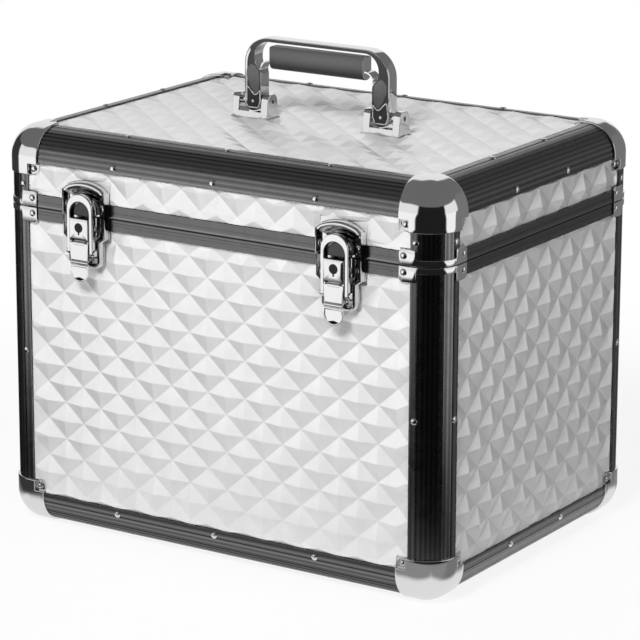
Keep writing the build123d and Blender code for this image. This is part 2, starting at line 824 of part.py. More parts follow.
def cheek_plane(face, u):
    """Give a plane across a latch at u: its own x runs outwards and its own y runs up."""
    return Plane(origin=face.origin + face.x_dir * u, x_dir=face.z_dir, z_dir=-face.x_dir)


def rod(face, out, v, radius, u_low, u_high, mode=Mode.ADD):
    """Add a round bar along the width, from u_low to u_high on a latch's face."""
    with BuildSketch(cheek_plane(face, (u_low + u_high) / 2)) as bar:
        with Locations((out, v)):
            Circle(radius)
    extrude(bar.sketch, amount=(u_high - u_low) / 2, both=True, mode=mode)


for side, sign in (("left", -1), ("right", 1)):
    face = Plane(origin=(sign * latch_x, -half_depth, z_parting), x_dir=(1, 0, 0), z_dir=(0, -1, 0))
    lever_v = -barrel_drop
    bail_v = lever_v - bail_pin_drop

    with BuildPart() as latch_plate:
        dished_plate(face, plate_outline, -latch_gap)
        with BuildSketch(face):
            with Locations((0, -(latch_gap + lock_drop) / 2)):
                Rectangle(2 * lock_half, lock_drop - latch_gap)
        extrude(amount=lock_front)
        for lug in (-lug_x, lug_x):
            with BuildSketch(cheek_plane(face, lug)):
                with Locations((lever_out / 2, lever_v)):
                    Rectangle(lever_out, 2 * lug_radius)
                with Locations((lever_out, lever_v)):
                    Circle(lug_radius)
            extrude(amount=lug_sheet / 2, both=True)
        rod(face, lever_out, lever_v, lever_pin_radius + running_gap, -lock_half, lock_half, Mode.SUBTRACT)
        with BuildSketch(face.offset(lock_front)):
            with Locations((0, -keyhole_drop)):
                Circle(keyhole_radius + running_gap)
        extrude(amount=-(plug_sink + plug_length + fit_gap), mode=Mode.SUBTRACT)
        with BuildSketch(face.offset(lock_front)):
            with Locations((0, -(keyhole_drop + keyhole_slit_drop) / 2)):
                Rectangle(keyhole_slit, keyhole_slit_drop - keyhole_drop)
        extrude(amount=-keyhole_depth, mode=Mode.SUBTRACT)
    save(latch_plate, f"latch_plate_{side}")

    with BuildPart() as latch_lock_plug:
        plug_front = face.offset(lock_front - plug_sink)
        with BuildSketch(plug_front):
            with Locations((0, -keyhole_drop)):
                Circle(keyhole_radius)
        extrude(amount=-plug_length)
        with BuildSketch(plug_front):
            with Locations((0, -keyhole_drop)):
                Rectangle(keyhole_slit, 2 * keyhole_radius - 4 * keyhole_depth)
        extrude(amount=-plug_length / 2, mode=Mode.SUBTRACT)
    save(latch_lock_plug, f"latch_lock_plug_{side}")

    with BuildPart() as latch_keeper:
        dished_plate(face, keeper_outline, latch_gap)
        with BuildSketch(face):
            hook_side = bail_inner_top - bail_inner
            with Locations((0, hook_side)):
                Circle(hook_half)
            with Locations((0, (hook_bottom + hook_side - hook_half) / 2)):
                Rectangle(2 * hook_half, hook_side + hook_half + hook_bottom, mode=Mode.SUBTRACT)
            with Locations((0, (hook_bottom + hook_side) / 2)):
                Rectangle(2 * hook_half, hook_side - hook_bottom)
        extrude(amount=hook_front)
    save(latch_keeper, f"latch_keeper_{side}")

    with BuildPart() as latch_lever:
        with BuildSketch(face.offset(lock_front - lever_sheet)):
            taper = lock_half - flap_taper
            start = lever_v + sheet_lead
            with BuildLine():
                Polyline(
                    [
                        (-lock_half, -bar_end), (-taper, -flap_end), (-lock_half, start),
                        (lock_half, start), (taper, -flap_end), (lock_half, -bar_end),
                        (lock_half, lock_half - tongue_end),
                    ]
                )
                ThreePointArc(
                    (lock_half, lock_half - tongue_end), (0, -tongue_end),
                    (-lock_half, lock_half - tongue_end),
                )
                Line((-lock_half, lock_half - tongue_end), (-lock_half, -bar_end))
            make_face()
        extrude(amount=lever_sheet)
        for cheek in (-1, 1):
            u = cheek * (lock_half - cheek_sheet / 2)
            low, front = lock_front - cheek_depth, lock_front - lever_sheet / 2
            with BuildSketch(cheek_plane(face, u)):
                with BuildLine():
                    Polyline(
                        [
                            (low, lever_v), (front, lever_v), (front, -bar_end),
                            (lever_out, -bar_end), (low, -flap_end),
                        ],
                        close=True,
                    )
                make_face()
                with Locations((lever_out, lever_v)):
                    Circle(barrel_radius)
            extrude(amount=cheek_sheet / 2, both=True)
        barrel_half = lug_x - lug_sheet / 2 - lug_gap
        rod(face, lever_out, lever_v, barrel_radius, -barrel_half, barrel_half)
        clear = lug_sheet / 2 + lug_gap
        for lug in (-lug_x, lug_x):
            rod(face, lever_out, lever_v, lug_radius + lug_gap, lug - clear, lug + clear, Mode.SUBTRACT)
        rod(face, lever_out, lever_v, lever_pin_radius, -lock_half, lock_half, Mode.SUBTRACT)
        rod(face, bail_out, bail_v, bail_pin_radius, -lock_half, lock_half, Mode.SUBTRACT)
        with BuildSketch(face.offset(lock_front)):
            with Locations((0, -(flap_end + bar_end) / 2)):
                Rectangle(2 * lock_half, bar_end - flap_end)
        extrude(amount=-bar_groove, mode=Mode.SUBTRACT)
    save(latch_lever, f"latch_lever_{side}")

    with BuildPart() as latch_pins:
        rod(face, lever_out, lever_v, lever_pin_radius, -lock_half, lock_half)
        for low, high in ((-bail_outer, -lock_half + cheek_sheet), (lock_half - cheek_sheet, bail_outer)):
            rod(face, bail_out, bail_v, bail_pin_radius, low, high)
        for low, high in (
            (-bail_outer - fit_gap - bail_head, -bail_outer - fit_gap),
            (bail_outer + fit_gap, bail_outer + fit_gap + bail_head),
        ):
            rod(face, bail_out, bail_v, bail_pin_head, low, high)
            near, far = sorted((math.copysign(bail_outer, low), math.copysign(bail_outer + fit_gap, low)))
            rod(face, bail_out, bail_v, bail_pin_radius, near, far)
    save(latch_pins, f"latch_pins_{side}")

    with BuildPart() as latch_bail:
        with BuildSketch(face.offset(bail_out - bail_depth / 2)):
            for half, top, mode in (
                (bail_outer, bail_top, Mode.ADD),
                (bail_inner, bail_inner_top, Mode.SUBTRACT),
            ):
                center = top - half
                with Locations((0, center)):
                    Circle(half, mode=mode)
                with Locations((0, (center + bail_v) / 2)):
                    Rectangle(2 * half, center - bail_v, mode=mode)
        extrude(amount=bail_depth)
        fronts = latch_bail.faces().sort_by(Axis.Y)[0]
        fillet(fronts.edges(), bail_edge_round)
        for low, high in ((-bail_outer, -bail_inner), (bail_inner, bail_outer)):
            rod(face, bail_out, bail_v, bail_depth / 2, low, high)
        rod(face, bail_out, bail_v, bail_pin_radius + running_gap, -bail_outer, bail_outer, Mode.SUBTRACT)
    save(latch_bail, f"latch_bail_{side}")


# Top handle

z_mount = z_top - panel_recess
z_pivot = z_mount + handle_pivot_height
MOUNT = Plane(origin=(0, 0, z_mount), x_dir=(1, 0, 0), z_dir=(0, -1, 0))
foot_x = handle_half_width - handle_foot

with BuildPart() as handle_bow:
    with BuildSketch(MOUNT):
        with Locations((0, (handle_pivot_height + handle_height) / 2)):
            Rectangle(2 * handle_half_width, handle_height - handle_pivot_height)
        fillet(vertices().group_by(Axis.Y)[-1], handle_corner)
        inner_top = handle_height - handle_band
        leg_x = handle_half_width - handle_leg
        with BuildSketch(mode=Mode.SUBTRACT):
            with BuildLine():
                Polyline(
                    [
                        (-foot_x, 0), (-foot_x, handle_fork_height), (-leg_x, handle_neck_height),
                        (-leg_x, inner_top), (leg_x, inner_top), (leg_x, handle_neck_height),
                        (foot_x, handle_fork_height), (foot_x, 0),
                    ],
                    close=True,
                )
            make_face()
            fillet(vertices().group_by(Axis.Y)[-1], handle_inner_round)
    extrude(amount=handle_depth / 2, both=True)
    with BuildSketch(MOUNT):
        hollow_top = handle_height - handle_sheet
        with Locations((0, (handle_foot_height + hollow_top) / 2)):
            Rectangle(2 * (handle_half_width - handle_sheet), hollow_top - handle_foot_height)
        fillet(vertices().group_by(Axis.Y)[-1], handle_corner - handle_sheet)
    extrude(amount=handle_depth / 2 - handle_sheet, both=True, mode=Mode.SUBTRACT)
    with BuildSketch(MOUNT) as strap:
        for grown, mode in ((handle_sheet, Mode.ADD), (0.0, Mode.SUBTRACT)):
            low, high = handle_foot_height - 2 * strap_round, strap_top - handle_sheet + grown
            with Locations((0, (low + high) / 2)):
                RectangleRounded(2 * (foot_x + grown), high - low, strap_round + grown, mode=mode)
        with Locations((0, handle_foot_height)):
            Rectangle(2 * case_width, 4 * strap_round, align=(Align.CENTER, Align.MAX), mode=Mode.SUBTRACT)
    extrude(strap.sketch, amount=strap_depth / 2, both=True)
    for low, high in ((-handle_half_width, -foot_x), (foot_x, handle_half_width)):
        rod(MOUNT, 0, handle_pivot_height, handle_depth / 2, low, high)
    bore = handle_pin_radius + running_gap
    rod(MOUNT, 0, handle_pivot_height, bore, -handle_half_width, handle_half_width, Mode.SUBTRACT)
save(handle_bow, "handle_bow")

with BuildPart() as handle_grip:
    grip_top = inner_top - grip_gap
    with Locations((0, 0, z_mount + (grip_bottom + grip_top) / 2)):
        Box(2 * grip_half_length, grip_depth, grip_top - grip_bottom)
    fillet(handle_grip.edges().filter_by(Axis.X).group_by(Axis.Z)[0], grip_round)
    with Locations((0, 0, z_mount + strap_top - handle_sheet)):
        Box(2 * grip_half_length, strap_depth, handle_sheet, align=ON_FACE, mode=Mode.SUBTRACT)
save(handle_grip, "handle_grip")

with BuildPart() as handle_pins:
    for sign in (-1, 1):
        mount_x = sign * mount_spacing / 2
        pin_half = mount_width / 2 - mount_end_draft
        rod(MOUNT, 0, handle_pivot_height, handle_pin_radius, mount_x - pin_half, mount_x + pin_half)
        collar_low = handle_half_width + fit_gap
        collar_high = (mount_spacing + mount_slot) / 2
        low, high = sorted((sign * collar_low, sign * collar_high))
        rod(MOUNT, 0, handle_pivot_height, handle_collar, low, high)
save(handle_pins, "handle_pins")

for side, sign in (("left", -1), ("right", 1)):
    with BuildPart() as handle_base:
        middle = Vector(sign * mount_spacing / 2, 0, z_mount)
        with BuildSketch(Plane(origin=middle, x_dir=(0, 1, 0), z_dir=(1, 0, 0))):
            with Locations((0, mount_height / 2)):
                Trapezoid(
                    mount_depth, mount_height,
                    math.degrees(math.atan2(2 * mount_height, mount_depth - mount_top_depth)),
                )
            fillet(vertices().group_by(Axis.Y)[-1], mount_round)
        extrude(amount=mount_width / 2, both=True)
        with BuildSketch(Plane(origin=middle, x_dir=(1, 0, 0), z_dir=(0, -1, 0))):
            with Locations((0, mount_height / 2)):
                Trapezoid(
                    mount_width, mount_height,
                    math.degrees(math.atan2(mount_height, mount_end_draft)),
                )
        extrude(amount=mount_depth, both=True, mode=Mode.INTERSECT)
        with Locations(middle + Vector(0, 0, mount_floor)):
            Box(mount_slot, mount_depth, mount_height, align=ON_FACE, mode=Mode.SUBTRACT)
        rod(
            MOUNT, 0, handle_pivot_height, handle_pin_radius,
            middle.X - pin_half, middle.X + pin_half, Mode.SUBTRACT,
        )
    save(handle_base, f"handle_base_{side}")
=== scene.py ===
import json
import math

import bmesh
import bpy
from mathutils import Matrix, Vector


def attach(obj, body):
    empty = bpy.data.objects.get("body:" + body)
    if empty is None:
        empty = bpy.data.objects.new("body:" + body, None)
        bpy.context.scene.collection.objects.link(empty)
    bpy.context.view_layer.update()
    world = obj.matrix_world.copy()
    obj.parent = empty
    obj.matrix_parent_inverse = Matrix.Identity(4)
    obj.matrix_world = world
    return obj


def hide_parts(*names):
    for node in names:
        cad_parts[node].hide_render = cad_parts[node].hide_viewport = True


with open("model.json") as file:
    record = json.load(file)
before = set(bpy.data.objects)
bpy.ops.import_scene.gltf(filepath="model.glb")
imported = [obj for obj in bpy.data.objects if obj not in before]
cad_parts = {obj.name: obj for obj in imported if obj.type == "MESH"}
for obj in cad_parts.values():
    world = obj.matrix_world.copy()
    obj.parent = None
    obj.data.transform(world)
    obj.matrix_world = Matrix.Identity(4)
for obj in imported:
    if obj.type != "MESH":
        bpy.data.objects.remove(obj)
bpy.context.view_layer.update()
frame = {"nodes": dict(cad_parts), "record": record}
nodes = frame["nodes"]

# Sizes in millimetres, the same as the solids'
MM = 0.001
WIDTH, DEPTH = 400.0, 296.0
FLOOR, PARTING, TOP = 1.5, 260.5, 321.5
HW, HD = WIDTH / 2, DEPTH / 2
# Width and rounding of the edge extrusions, the rims' height, and the gap round a skin
EDGE, ROUND, RIM, FIT = 26.0, 24.0, 10.0, 0.3
# Pyramids: depth of their floor, height, half pitches, and the skin's height at its own edge
RECESS, RELIEF, PITCH_U, PITCH_V, SKIN_EDGE = 3.0, 3.0, 17.0, 15.0, -1.5
CAP_SHEET, CAP_REACH = 1.5, 36.0
# Rim brackets: height of the strip and of its end tabs, and where the tabs start and end
BAND, TAB, TAB_START, TAB_REACH = 5.2, 12.3, 20.8, 35.0
# Middles of the latches and rear hinges, and of the handle's mounts
LATCH_X, MOUNT_X = 116.0, 61.0
# Distance between the fine lines painted on the extrusions as highlights and shade of their grooves
LINE_PITCH = 4.9
# Height of the case's middle, in metres
BOX_MIDDLE = 0.16


# Materials


def math_node(tree, operation, *values):
    """Add a math node; a value is a number or another node's output."""
    node = tree.nodes.new("ShaderNodeMath")
    node.operation = operation
    for k, value in enumerate(values):
        if isinstance(value, (int, float)):
            node.inputs[k].default_value = value
        else:
            tree.links.new(value, node.inputs[k])
    return node.outputs["Value"]


def smooth(tree, value, low, high):
    """Run smoothly from 0 at low to 1 at high."""
    span = tree.nodes.new("ShaderNodeMapRange")
    span.interpolation_type = "SMOOTHSTEP"
    span.inputs["From Min"].default_value = low
    span.inputs["From Max"].default_value = high
    tree.links.new(value, span.inputs["Value"])
    return span.outputs["Result"]


def principled(name, color, metallic, roughness):
    """Make a grey material, and give it with its tree and its shader."""
    mat = bpy.data.materials.new(name)
    mat.use_nodes = True
    shader = mat.node_tree.nodes["Principled BSDF"]
    shader.inputs["Base Color"].default_value = (color, color, color, 1)
    shader.inputs["Metallic"].default_value = metallic
    shader.inputs["Roughness"].default_value = roughness
    return mat, mat.node_tree, shader


def noise(tree, scale, detail=3.0, stretch=(1, 1, 1)):
    coords = tree.nodes.new("ShaderNodeTexCoord")
    mapping = tree.nodes.new("ShaderNodeMapping")
    mapping.inputs["Scale"].default_value = stretch
    tree.links.new(coords.outputs["Object"], mapping.inputs["Vector"])
    tex = tree.nodes.new("ShaderNodeTexNoise")
    tex.inputs["Scale"].default_value = scale
    tex.inputs["Detail"].default_value = detail
    tree.links.new(mapping.outputs["Vector"], tex.inputs["Vector"])
    return tex


def spread(tree, tex, low, high, target):
    """Send a noise to a shader input as a value between low and high."""
    span = tree.nodes.new("ShaderNodeMapRange")
    span.inputs["From Min"].default_value = 0.3
    span.inputs["From Max"].default_value = 0.7
    span.inputs["To Min"].default_value = low
    span.inputs["To Max"].default_value = high
    tree.links.new(tex.outputs["Fac"], span.inputs["Value"])
    tree.links.new(span.outputs["Result"], target)
    return span


def tone(tree, tex, low, high, shader):
    """Vary a grey base colour between two levels."""
    ramp = tree.nodes.new("ShaderNodeValToRGB")
    ramp.color_ramp.elements[0].position = 0.35
    ramp.color_ramp.elements[0].color = (low, low, low, 1)
    ramp.color_ramp.elements[1].position = 0.65
    ramp.color_ramp.elements[1].color = (high, high, high, 1)
    tree.links.new(tex.outputs["Fac"], ramp.inputs["Fac"])
    tree.links.new(ramp.outputs["Color"], shader.inputs["Base Color"])


def object_axes(tree):
    """Give the outputs X, Y and Z of a piece's own coordinates, in metres."""
    coords = tree.nodes.new("ShaderNodeTexCoord")
    parts = tree.nodes.new("ShaderNodeSeparateXYZ")
    tree.links.new(coords.outputs["Object"], parts.inputs[0])
    return parts.outputs


def color_by(tree, value, shader):
    """Use one value for all three channels of the base colour."""
    joined = tree.nodes.new("ShaderNodeCombineColor")
    for channel in ("Red", "Green", "Blue"):
        tree.links.new(value, joined.inputs[channel])
    tree.links.new(joined.outputs["Color"], shader.inputs["Base Color"])


def color_by_height(tree, shader, grey, steps):
    """Add to a grey by height: each step is (start, end, change), with its heights in millimetres."""
    height = object_axes(tree)["Z"]
    for start, end, change in steps:
        grey = math_node(tree, "MULTIPLY_ADD", smooth(tree, height, start * MM, end * MM), change, grey)
    color_by(tree, grey, shader)


def relief(tree, tex, strength, distance, shader):
    bump = tree.nodes.new("ShaderNodeBump")
    bump.inputs["Strength"].default_value = strength
    bump.inputs["Distance"].default_value = distance
    tree.links.new(tex.outputs["Fac"], bump.inputs["Height"])
    tree.links.new(bump.outputs["Normal"], shader.inputs["Normal"])


def make_black(name, first, second):
    """Make black metal with fine lines painted along an extrusion that rounds from one axis to the other:
    light lines are painted highlights and dark lines painted shade of its grooves, and its lowest part is
    painted darker, as shade near the floor.
    """
    mat, tree, shader = principled(name, 0.19, 1.0, 0.28)
    axes = object_axes(tree)
    one, two = (
        math_node(tree, "ABSOLUTE", math_node(tree, "SUBTRACT", axes[axis], middle))
        for axis, middle in (first, second)
    )
    across = math_node(tree, "SUBTRACT", one, two)
    wave = math_node(tree, "SINE", math_node(tree, "MULTIPLY", across, 2 * math.pi / (LINE_PITCH * MM)))
    # Painted highlights and shade: light lines stand for light caught by the fine grooves, dark lines for
    # the shade in them
    light, deep = smooth(tree, wave, 0.45, 0.9), smooth(tree, wave, -0.35, -0.85)
    lines = math_node(tree, "MULTIPLY_ADD", light, 0.09, math_node(tree, "MULTIPLY_ADD", deep, -0.06, 0.18))
    # Painted shade: the lowest 24 mm, the bottom rails and the posts' feet, are darker towards the floor
    low = math_node(tree, "MULTIPLY_ADD", smooth(tree, axes["Z"], 6 * MM, 24 * MM), 0.6, 0.4)
    color_by(tree, math_node(tree, "MULTIPLY", lines, low), shader)
    spread(tree, noise(tree, 120, 4), 0.24, 0.32, shader.inputs["Roughness"])
    return mat


def make_materials():
    mats = {}
    mat, tree, shader = principled("skin_silver", 0.82, 0.42, 0.34)
    tone(tree, noise(tree, 60, 4), 0.8, 0.84, shader)
    spread(tree, noise(tree, 90, 3), 0.3, 0.38, shader.inputs["Roughness"])
    relief(tree, noise(tree, 1500, 2), 0.12, 0.0002, shader)
    mats["skin"] = mat

    height = ("Z", BOX_MIDDLE)
    mats["black_along_x"] = make_black("anodised_black_x", ("Y", 0.0), height)
    mats["black_along_y"] = make_black("anodised_black_y", ("X", 0.0), height)
    mats["black_upright"] = make_black("anodised_black_z", ("X", 0.0), ("Y", 0.0))

    mat, tree, shader = principled("anodised_black_rim", 0.19, 1.0, 0.26)
    # Painted shade and highlight: a near-black line at the parting line is painted shade of the gap between
    # the rims, the light band just above it a painted highlight on the lid rim's lower edge; a fainter dark
    # line with a light band over it lies 3 mm lower
    color_by_height(tree, shader, 0.17, [
        (PARTING - 3.5, PARTING - 3.0, -0.07), (PARTING - 2.8, PARTING - 2.2, 0.09),
        (PARTING - 1.1, PARTING - 0.6, -0.17), (PARTING + 0.2, PARTING + 0.8, 0.24),
        (PARTING + 1.6, PARTING + 2.4, -0.09),
    ])
    spread(tree, noise(tree, 120, 4), 0.22, 0.3, shader.inputs["Roughness"])
    mats["rim"] = mat

    mat, tree, shader = principled("chrome_plate", 0.86, 1.0, 0.07)
    tone(tree, noise(tree, 30, 3), 0.84, 0.88, shader)
    spread(tree, noise(tree, 70, 4), 0.05, 0.1, shader.inputs["Roughness"])
    mats["chrome"] = mat

    mat, tree, shader = principled("zinc_steel", 0.6, 1.0, 0.3)
    tone(tree, noise(tree, 60, 3), 0.56, 0.64, shader)
    spread(tree, noise(tree, 150, 4), 0.25, 0.38, shader.inputs["Roughness"])
    mats["zinc"] = mat

    mat, tree, shader = principled("grip_black", 0.08, 0.0, 0.4)
    # Painted light and shade: the sleeve's underside is darkest, as shade, its upper half lighter, as lit
    # from above, and its top a little darker again
    color_by_height(tree, shader, 0.02, [(361.5, 371.5, 0.075), (372.5, 377.0, -0.02)])
    relief(tree, noise(tree, 1800, 3), 0.1, 0.0002, shader)
    mats["grip"] = mat

    mat, tree, shader = principled("lining_black", 0.04, 0.0, 0.75)
    tone(tree, noise(tree, 70, 4), 0.035, 0.05, shader)
    relief(tree, noise(tree, 900, 4), 0.3, 0.0004, shader)
    mats["lining"] = mat

    mat, tree, shader = principled("tray_black", 0.035, 0.0, 0.5)
    tone(tree, noise(tree, 50, 3), 0.03, 0.042, shader)
    relief(tree, noise(tree, 1400, 3), 0.15, 0.0003, shader)
    mats["tray"] = mat

    # Chrome painted dark as shade: on the keeper's hook it stands for the shade of its recess behind the
    # bail, on the bow's front face for the shade and dark reflections of a shallow recess
    mat, tree, shader = principled("shade_painted_chrome", 0.07, 1.0, 0.2)
    tone(tree, noise(tree, 50, 3), 0.06, 0.08, shader)
    spread(tree, noise(tree, 90, 4), 0.15, 0.25, shader.inputs["Roughness"])
    mats["shade_painted_chrome"] = mat

    mat, tree, shader = principled("grey_chrome", 0.17, 1.0, 0.22)
    tone(tree, noise(tree, 50, 3), 0.15, 0.19, shader)
    mats["grey_chrome"] = mat

    mat, tree, shader = principled("crinkled_chrome", 0.86, 1.0, 0.08)
    tone(tree, noise(tree, 30, 3), 0.84, 0.88, shader)
    relief(tree, noise(tree, 260, 2), 1.0, 0.0016, shader)
    mats["crinkled"] = mat

    # Painted shade: a near-black colour for the insides of the keyhole, the pin bores and the lock's plug,
    # and for the half-moon sheet on the lever's tongue that stands in for a shaded recess
    mat, tree, shader = principled("painted_recess_shade", 0.012, 0.4, 0.4)
    tone(tree, noise(tree, 60, 3), 0.01, 0.016, shader)
    mats["dark"] = mat
    return mats


MATS = make_materials()
SLOT_MATS = {
    "embossed_skin": "skin", "chrome": "chrome", "rivet_steel": "chrome", "lining": "lining",
    "tray_plastic": "tray", "grip_plastic": "grip", "zinc_steel": "zinc", "bottom_board": "lining",
}


def finish_of(name, slot):
    """Choose a node's material; extrusions have their own by the way that they run."""
    if "_rail_" in name:
        return "black_along_x" if name.endswith(("front", "back")) else "black_along_y"
    if name.endswith("_posts"):
        return "black_upright"
    if name.endswith("_rim"):
        return "rim"
    # The lock's plug gets the painted recess shade
    return "dark" if "lock_plug" in name else SLOT_MATS[slot]


for part in frame["record"]["subparts"]:
    node_mesh = nodes[part["node"]].data
    node_mesh.materials.clear()
    node_mesh.materials.append(MATS[finish_of(part["node"], part["material_slot"])])


# Mesh helpers; a plane is a matrix that takes millimetres to the scene's metres


def plane_at(origin, x_dir, z_dir):
    """Give the matrix of a plane from its own x and z directions."""
    x, z = Vector(x_dir).normalized(), Vector(z_dir).normalized()
    turned = Matrix((x, z.cross(x), z)).transposed().to_4x4()
    turned.translation = Vector(origin)
    return Matrix.Scale(MM, 4) @ turned


FACES = {
    "front": plane_at((0, -HD, 0), (1, 0, 0), (0, -1, 0)),
    "back": plane_at((0, HD, 0), (-1, 0, 0), (0, 1, 0)),
    "right": plane_at((HW, 0, 0), (0, 1, 0), (1, 0, 0)),
    "left": plane_at((-HW, 0, 0), (0, -1, 0), (-1, 0, 0)),
    "top": plane_at((0, 0, TOP), (1, 0, 0), (0, 0, 1)),
}


def arc(cu, cv, radius, start, end, steps):
    """List points of an arc, with its angles in degrees."""
    angles = [math.radians(start + (end - start) * k / steps) for k in range(steps + 1)]
    return [(cu + radius * math.cos(a), cv + radius * math.sin(a)) for a in angles]


def rounded(corners, steps=5):
    """Round the corners (u, v, radius) of an outline that runs anticlockwise."""
    points = []
    for k, (u, v, radius) in enumerate(corners):
        if radius <= 0:
            points.append((u, v))
            continue
        at = Vector((u, v))
        before = (Vector(corners[k - 1][:2]) - at).normalized()
        after = (Vector(corners[(k + 1) % len(corners)][:2]) - at).normalized()
        half = math.acos(max(-1.0, min(1.0, before.dot(after)))) / 2
        center = at + (before + after).normalized() * radius / math.sin(half)
        start = at + before * radius / math.tan(half) - center
        end = at + after * radius / math.tan(half) - center
        turn = start.angle_signed(end)
        for step in range(steps + 1):
            spoke = start.copy()
            spoke.rotate(Matrix.Rotation(-turn * step / steps, 2))
            points.append(tuple(center + spoke))
    return points


def inset(points, amount, closed, weights):
    """Move an anticlockwise outline inwards; a weight scales each point's move."""
    moved = []
    last = len(points) - 1
    for k, point in enumerate(points):
        at = Vector(point)
        normals = []
        if closed or k > 0:
            run = (at - Vector(points[k - 1])).normalized()
            normals.append(Vector((-run.y, run.x)))
        if closed or k < last:
            run = (Vector(points[0 if k == last else k + 1]) - at).normalized()
            normals.append(Vector((-run.y, run.x)))
        if len(normals) == 2:
            move = (normals[0] + normals[1]) / max(0.4, 1 + normals[0].dot(normals[1]))
        else:
            move = normals[0]
        moved.append(at + move * amount * (weights[k] if weights else 1.0))
    return moved


def stack(
    bm, outline, layers, plane, closed=True, weights=None, floor=True, roof=True, mat=0, roof_mat=None
):
    """Build a solid from an outline: layers are (inset, height), from low to high."""
    layers = list(layers)
    if roof:
        layers.append((layers[-1][0] + 0.12, layers[-1][1]))
    rings = []
    for amount, height in layers:
        ring = inset(outline, amount, closed, weights)
        rings.append([bm.verts.new(plane @ Vector((p[0], p[1], height))) for p in ring])
    count = len(outline)
    faces = []
    for low, high in zip(rings, rings[1:]):
        for k in range(count if closed else count - 1):
            n = (k + 1) % count
            faces.append(bm.faces.new((low[k], low[n], high[n], high[k])))
    if floor:
        faces.append(bm.faces.new(list(reversed(rings[0]))))
    if not closed:
        faces.append(bm.faces.new([r[0] for r in rings] + [r[-1] for r in reversed(rings)]))
    for face in faces:
        face.material_index = mat
    if roof:
        bm.faces.new(rings[-1]).material_index = mat if roof_mat is None else roof_mat


def lathe(bm, plane, profile, sides=24, mat=0):
    """Turn a profile of (radius, height) round a plane's own z axis."""
    rings = []
    for radius, height in profile:
        if radius == 0:
            rings.append([bm.verts.new(plane @ Vector((0, 0, height)))])
            continue
        angles = [2 * math.pi * k / sides for k in range(sides)]
        ring = [Vector((radius * math.cos(a), radius * math.sin(a), height)) for a in angles]
        rings.append([bm.verts.new(plane @ point) for point in ring])
    for low, high in zip(rings, rings[1:]):
        for k in range(sides):
            n = (k + 1) % sides
            corners = []
            for vert in (low[k % len(low)], low[n % len(low)], high[n % len(high)], high[k % len(high)]):
                if vert not in corners:
                    corners.append(vert)
            if len(corners) > 2:
                bm.faces.new(corners).material_index = mat


def link(name, bm, materials, body, slot, *replaced, sharp=35):
    """Turn the mesh into a piece of the scene that rides on a body."""
    bmesh.ops.remove_doubles(bm, verts=bm.verts, dist=1e-6)
    bmesh.ops.recalc_face_normals(bm, faces=bm.faces)
    mesh = bpy.data.meshes.new(name)
    bm.to_mesh(mesh)
    bm.free()
    if sharp:
        mesh.shade_smooth()
        mesh.set_sharp_from_angle(angle=math.radians(sharp))
    for material in materials:
        mesh.materials.append(MATS[material])
    piece = bpy.data.objects.new(name, mesh)
    bpy.context.scene.collection.objects.link(piece)
    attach(piece, body)
    if replaced:
        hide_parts(*replaced)
    return piece


# Embossed skins: rows of pyramids, cut to a window and open behind the fittings

# Rounding of the folds, how far round an opening faces are cut, and the plate behind a skin
FOLD_ROUND, CUT_REACH = 0.35, 20
PLATE_TOP, PLATE_BACK = -RECESS - 0.02, -8.0


def inside(point, area):
    return area[0] < point.x < area[2] and area[1] < point.y < area[3]


def cut(bm, faces, co, no, clear):
    """Cut faces by a plane through co, and clear what lies beyond if asked."""
    edges = dict.fromkeys(edge for face in faces for edge in face.edges)
    verts = dict.fromkeys(vert for face in faces for vert in face.verts)
    geom = [*faces, *edges, *verts]
    bmesh.ops.bisect_plane(bm, geom=geom, plane_co=co, plane_no=no, clear_outer=clear, dist=1e-4)


def add_pyramids(bm, window, peak):
    """Fill a window with pyramids; every other place of the grid is a crest, and peak is one."""
    low_i = math.floor((window[0] - peak[0]) / PITCH_U) - 1
    high_i = math.ceil((window[2] - peak[0]) / PITCH_U) + 1
    low_j = math.floor((window[1] - peak[1]) / PITCH_V) - 1
    high_j = math.ceil((window[3] - peak[1]) / PITCH_V) + 1
    for i in range(low_i, high_i + 1):
        for j in range(low_j, high_j + 1):
            if (i + j) % 2:
                continue
            u, v = peak[0] + i * PITCH_U, peak[1] + j * PITCH_V
            crest = bm.verts.new((u, v, RELIEF - RECESS))
            feet = [(u + PITCH_U, v), (u, v + PITCH_V), (u - PITCH_U, v), (u, v - PITCH_V)]
            feet = [bm.verts.new((*foot, -RECESS)) for foot in feet]
            for k in range(4):
                bm.faces.new((crest, feet[k], feet[(k + 1) % 4]))
    bmesh.ops.remove_doubles(bm, verts=bm.verts, dist=1e-3)
    for co, no in (
        ((window[0], 0, 0), (-1, 0, 0)), ((window[2], 0, 0), (1, 0, 0)),
        ((0, window[1], 0), (0, -1, 0)), ((0, window[3], 0), (0, 1, 0)),
    ):
        cut(bm, bm.faces[:], co, no, True)
    for vert in bm.verts:
        x, y = vert.co.x, vert.co.y
        if min(x - window[0], window[2] - x, y - window[1], window[3] - y) < 0.01:
            vert.co.z = SKIN_EDGE


def open_flat(bm, flat):
    """Open a skin behind a fitting; the cuts run only through the faces nearby."""
    reach = (flat[0] - CUT_REACH, flat[1] - CUT_REACH, flat[2] + CUT_REACH, flat[3] + CUT_REACH)
    for co, no in (
        ((flat[0], 0, 0), (1, 0, 0)), ((flat[2], 0, 0), (1, 0, 0)),
        ((0, flat[1], 0), (0, 1, 0)), ((0, flat[3], 0), (0, 1, 0)),
    ):
        cut(bm, [f for f in bm.faces if inside(f.calc_center_median(), reach)], co, no, False)
    covered = [f for f in bm.faces if inside(f.calc_center_median(), flat)]
    bmesh.ops.delete(bm, geom=covered, context="FACES")


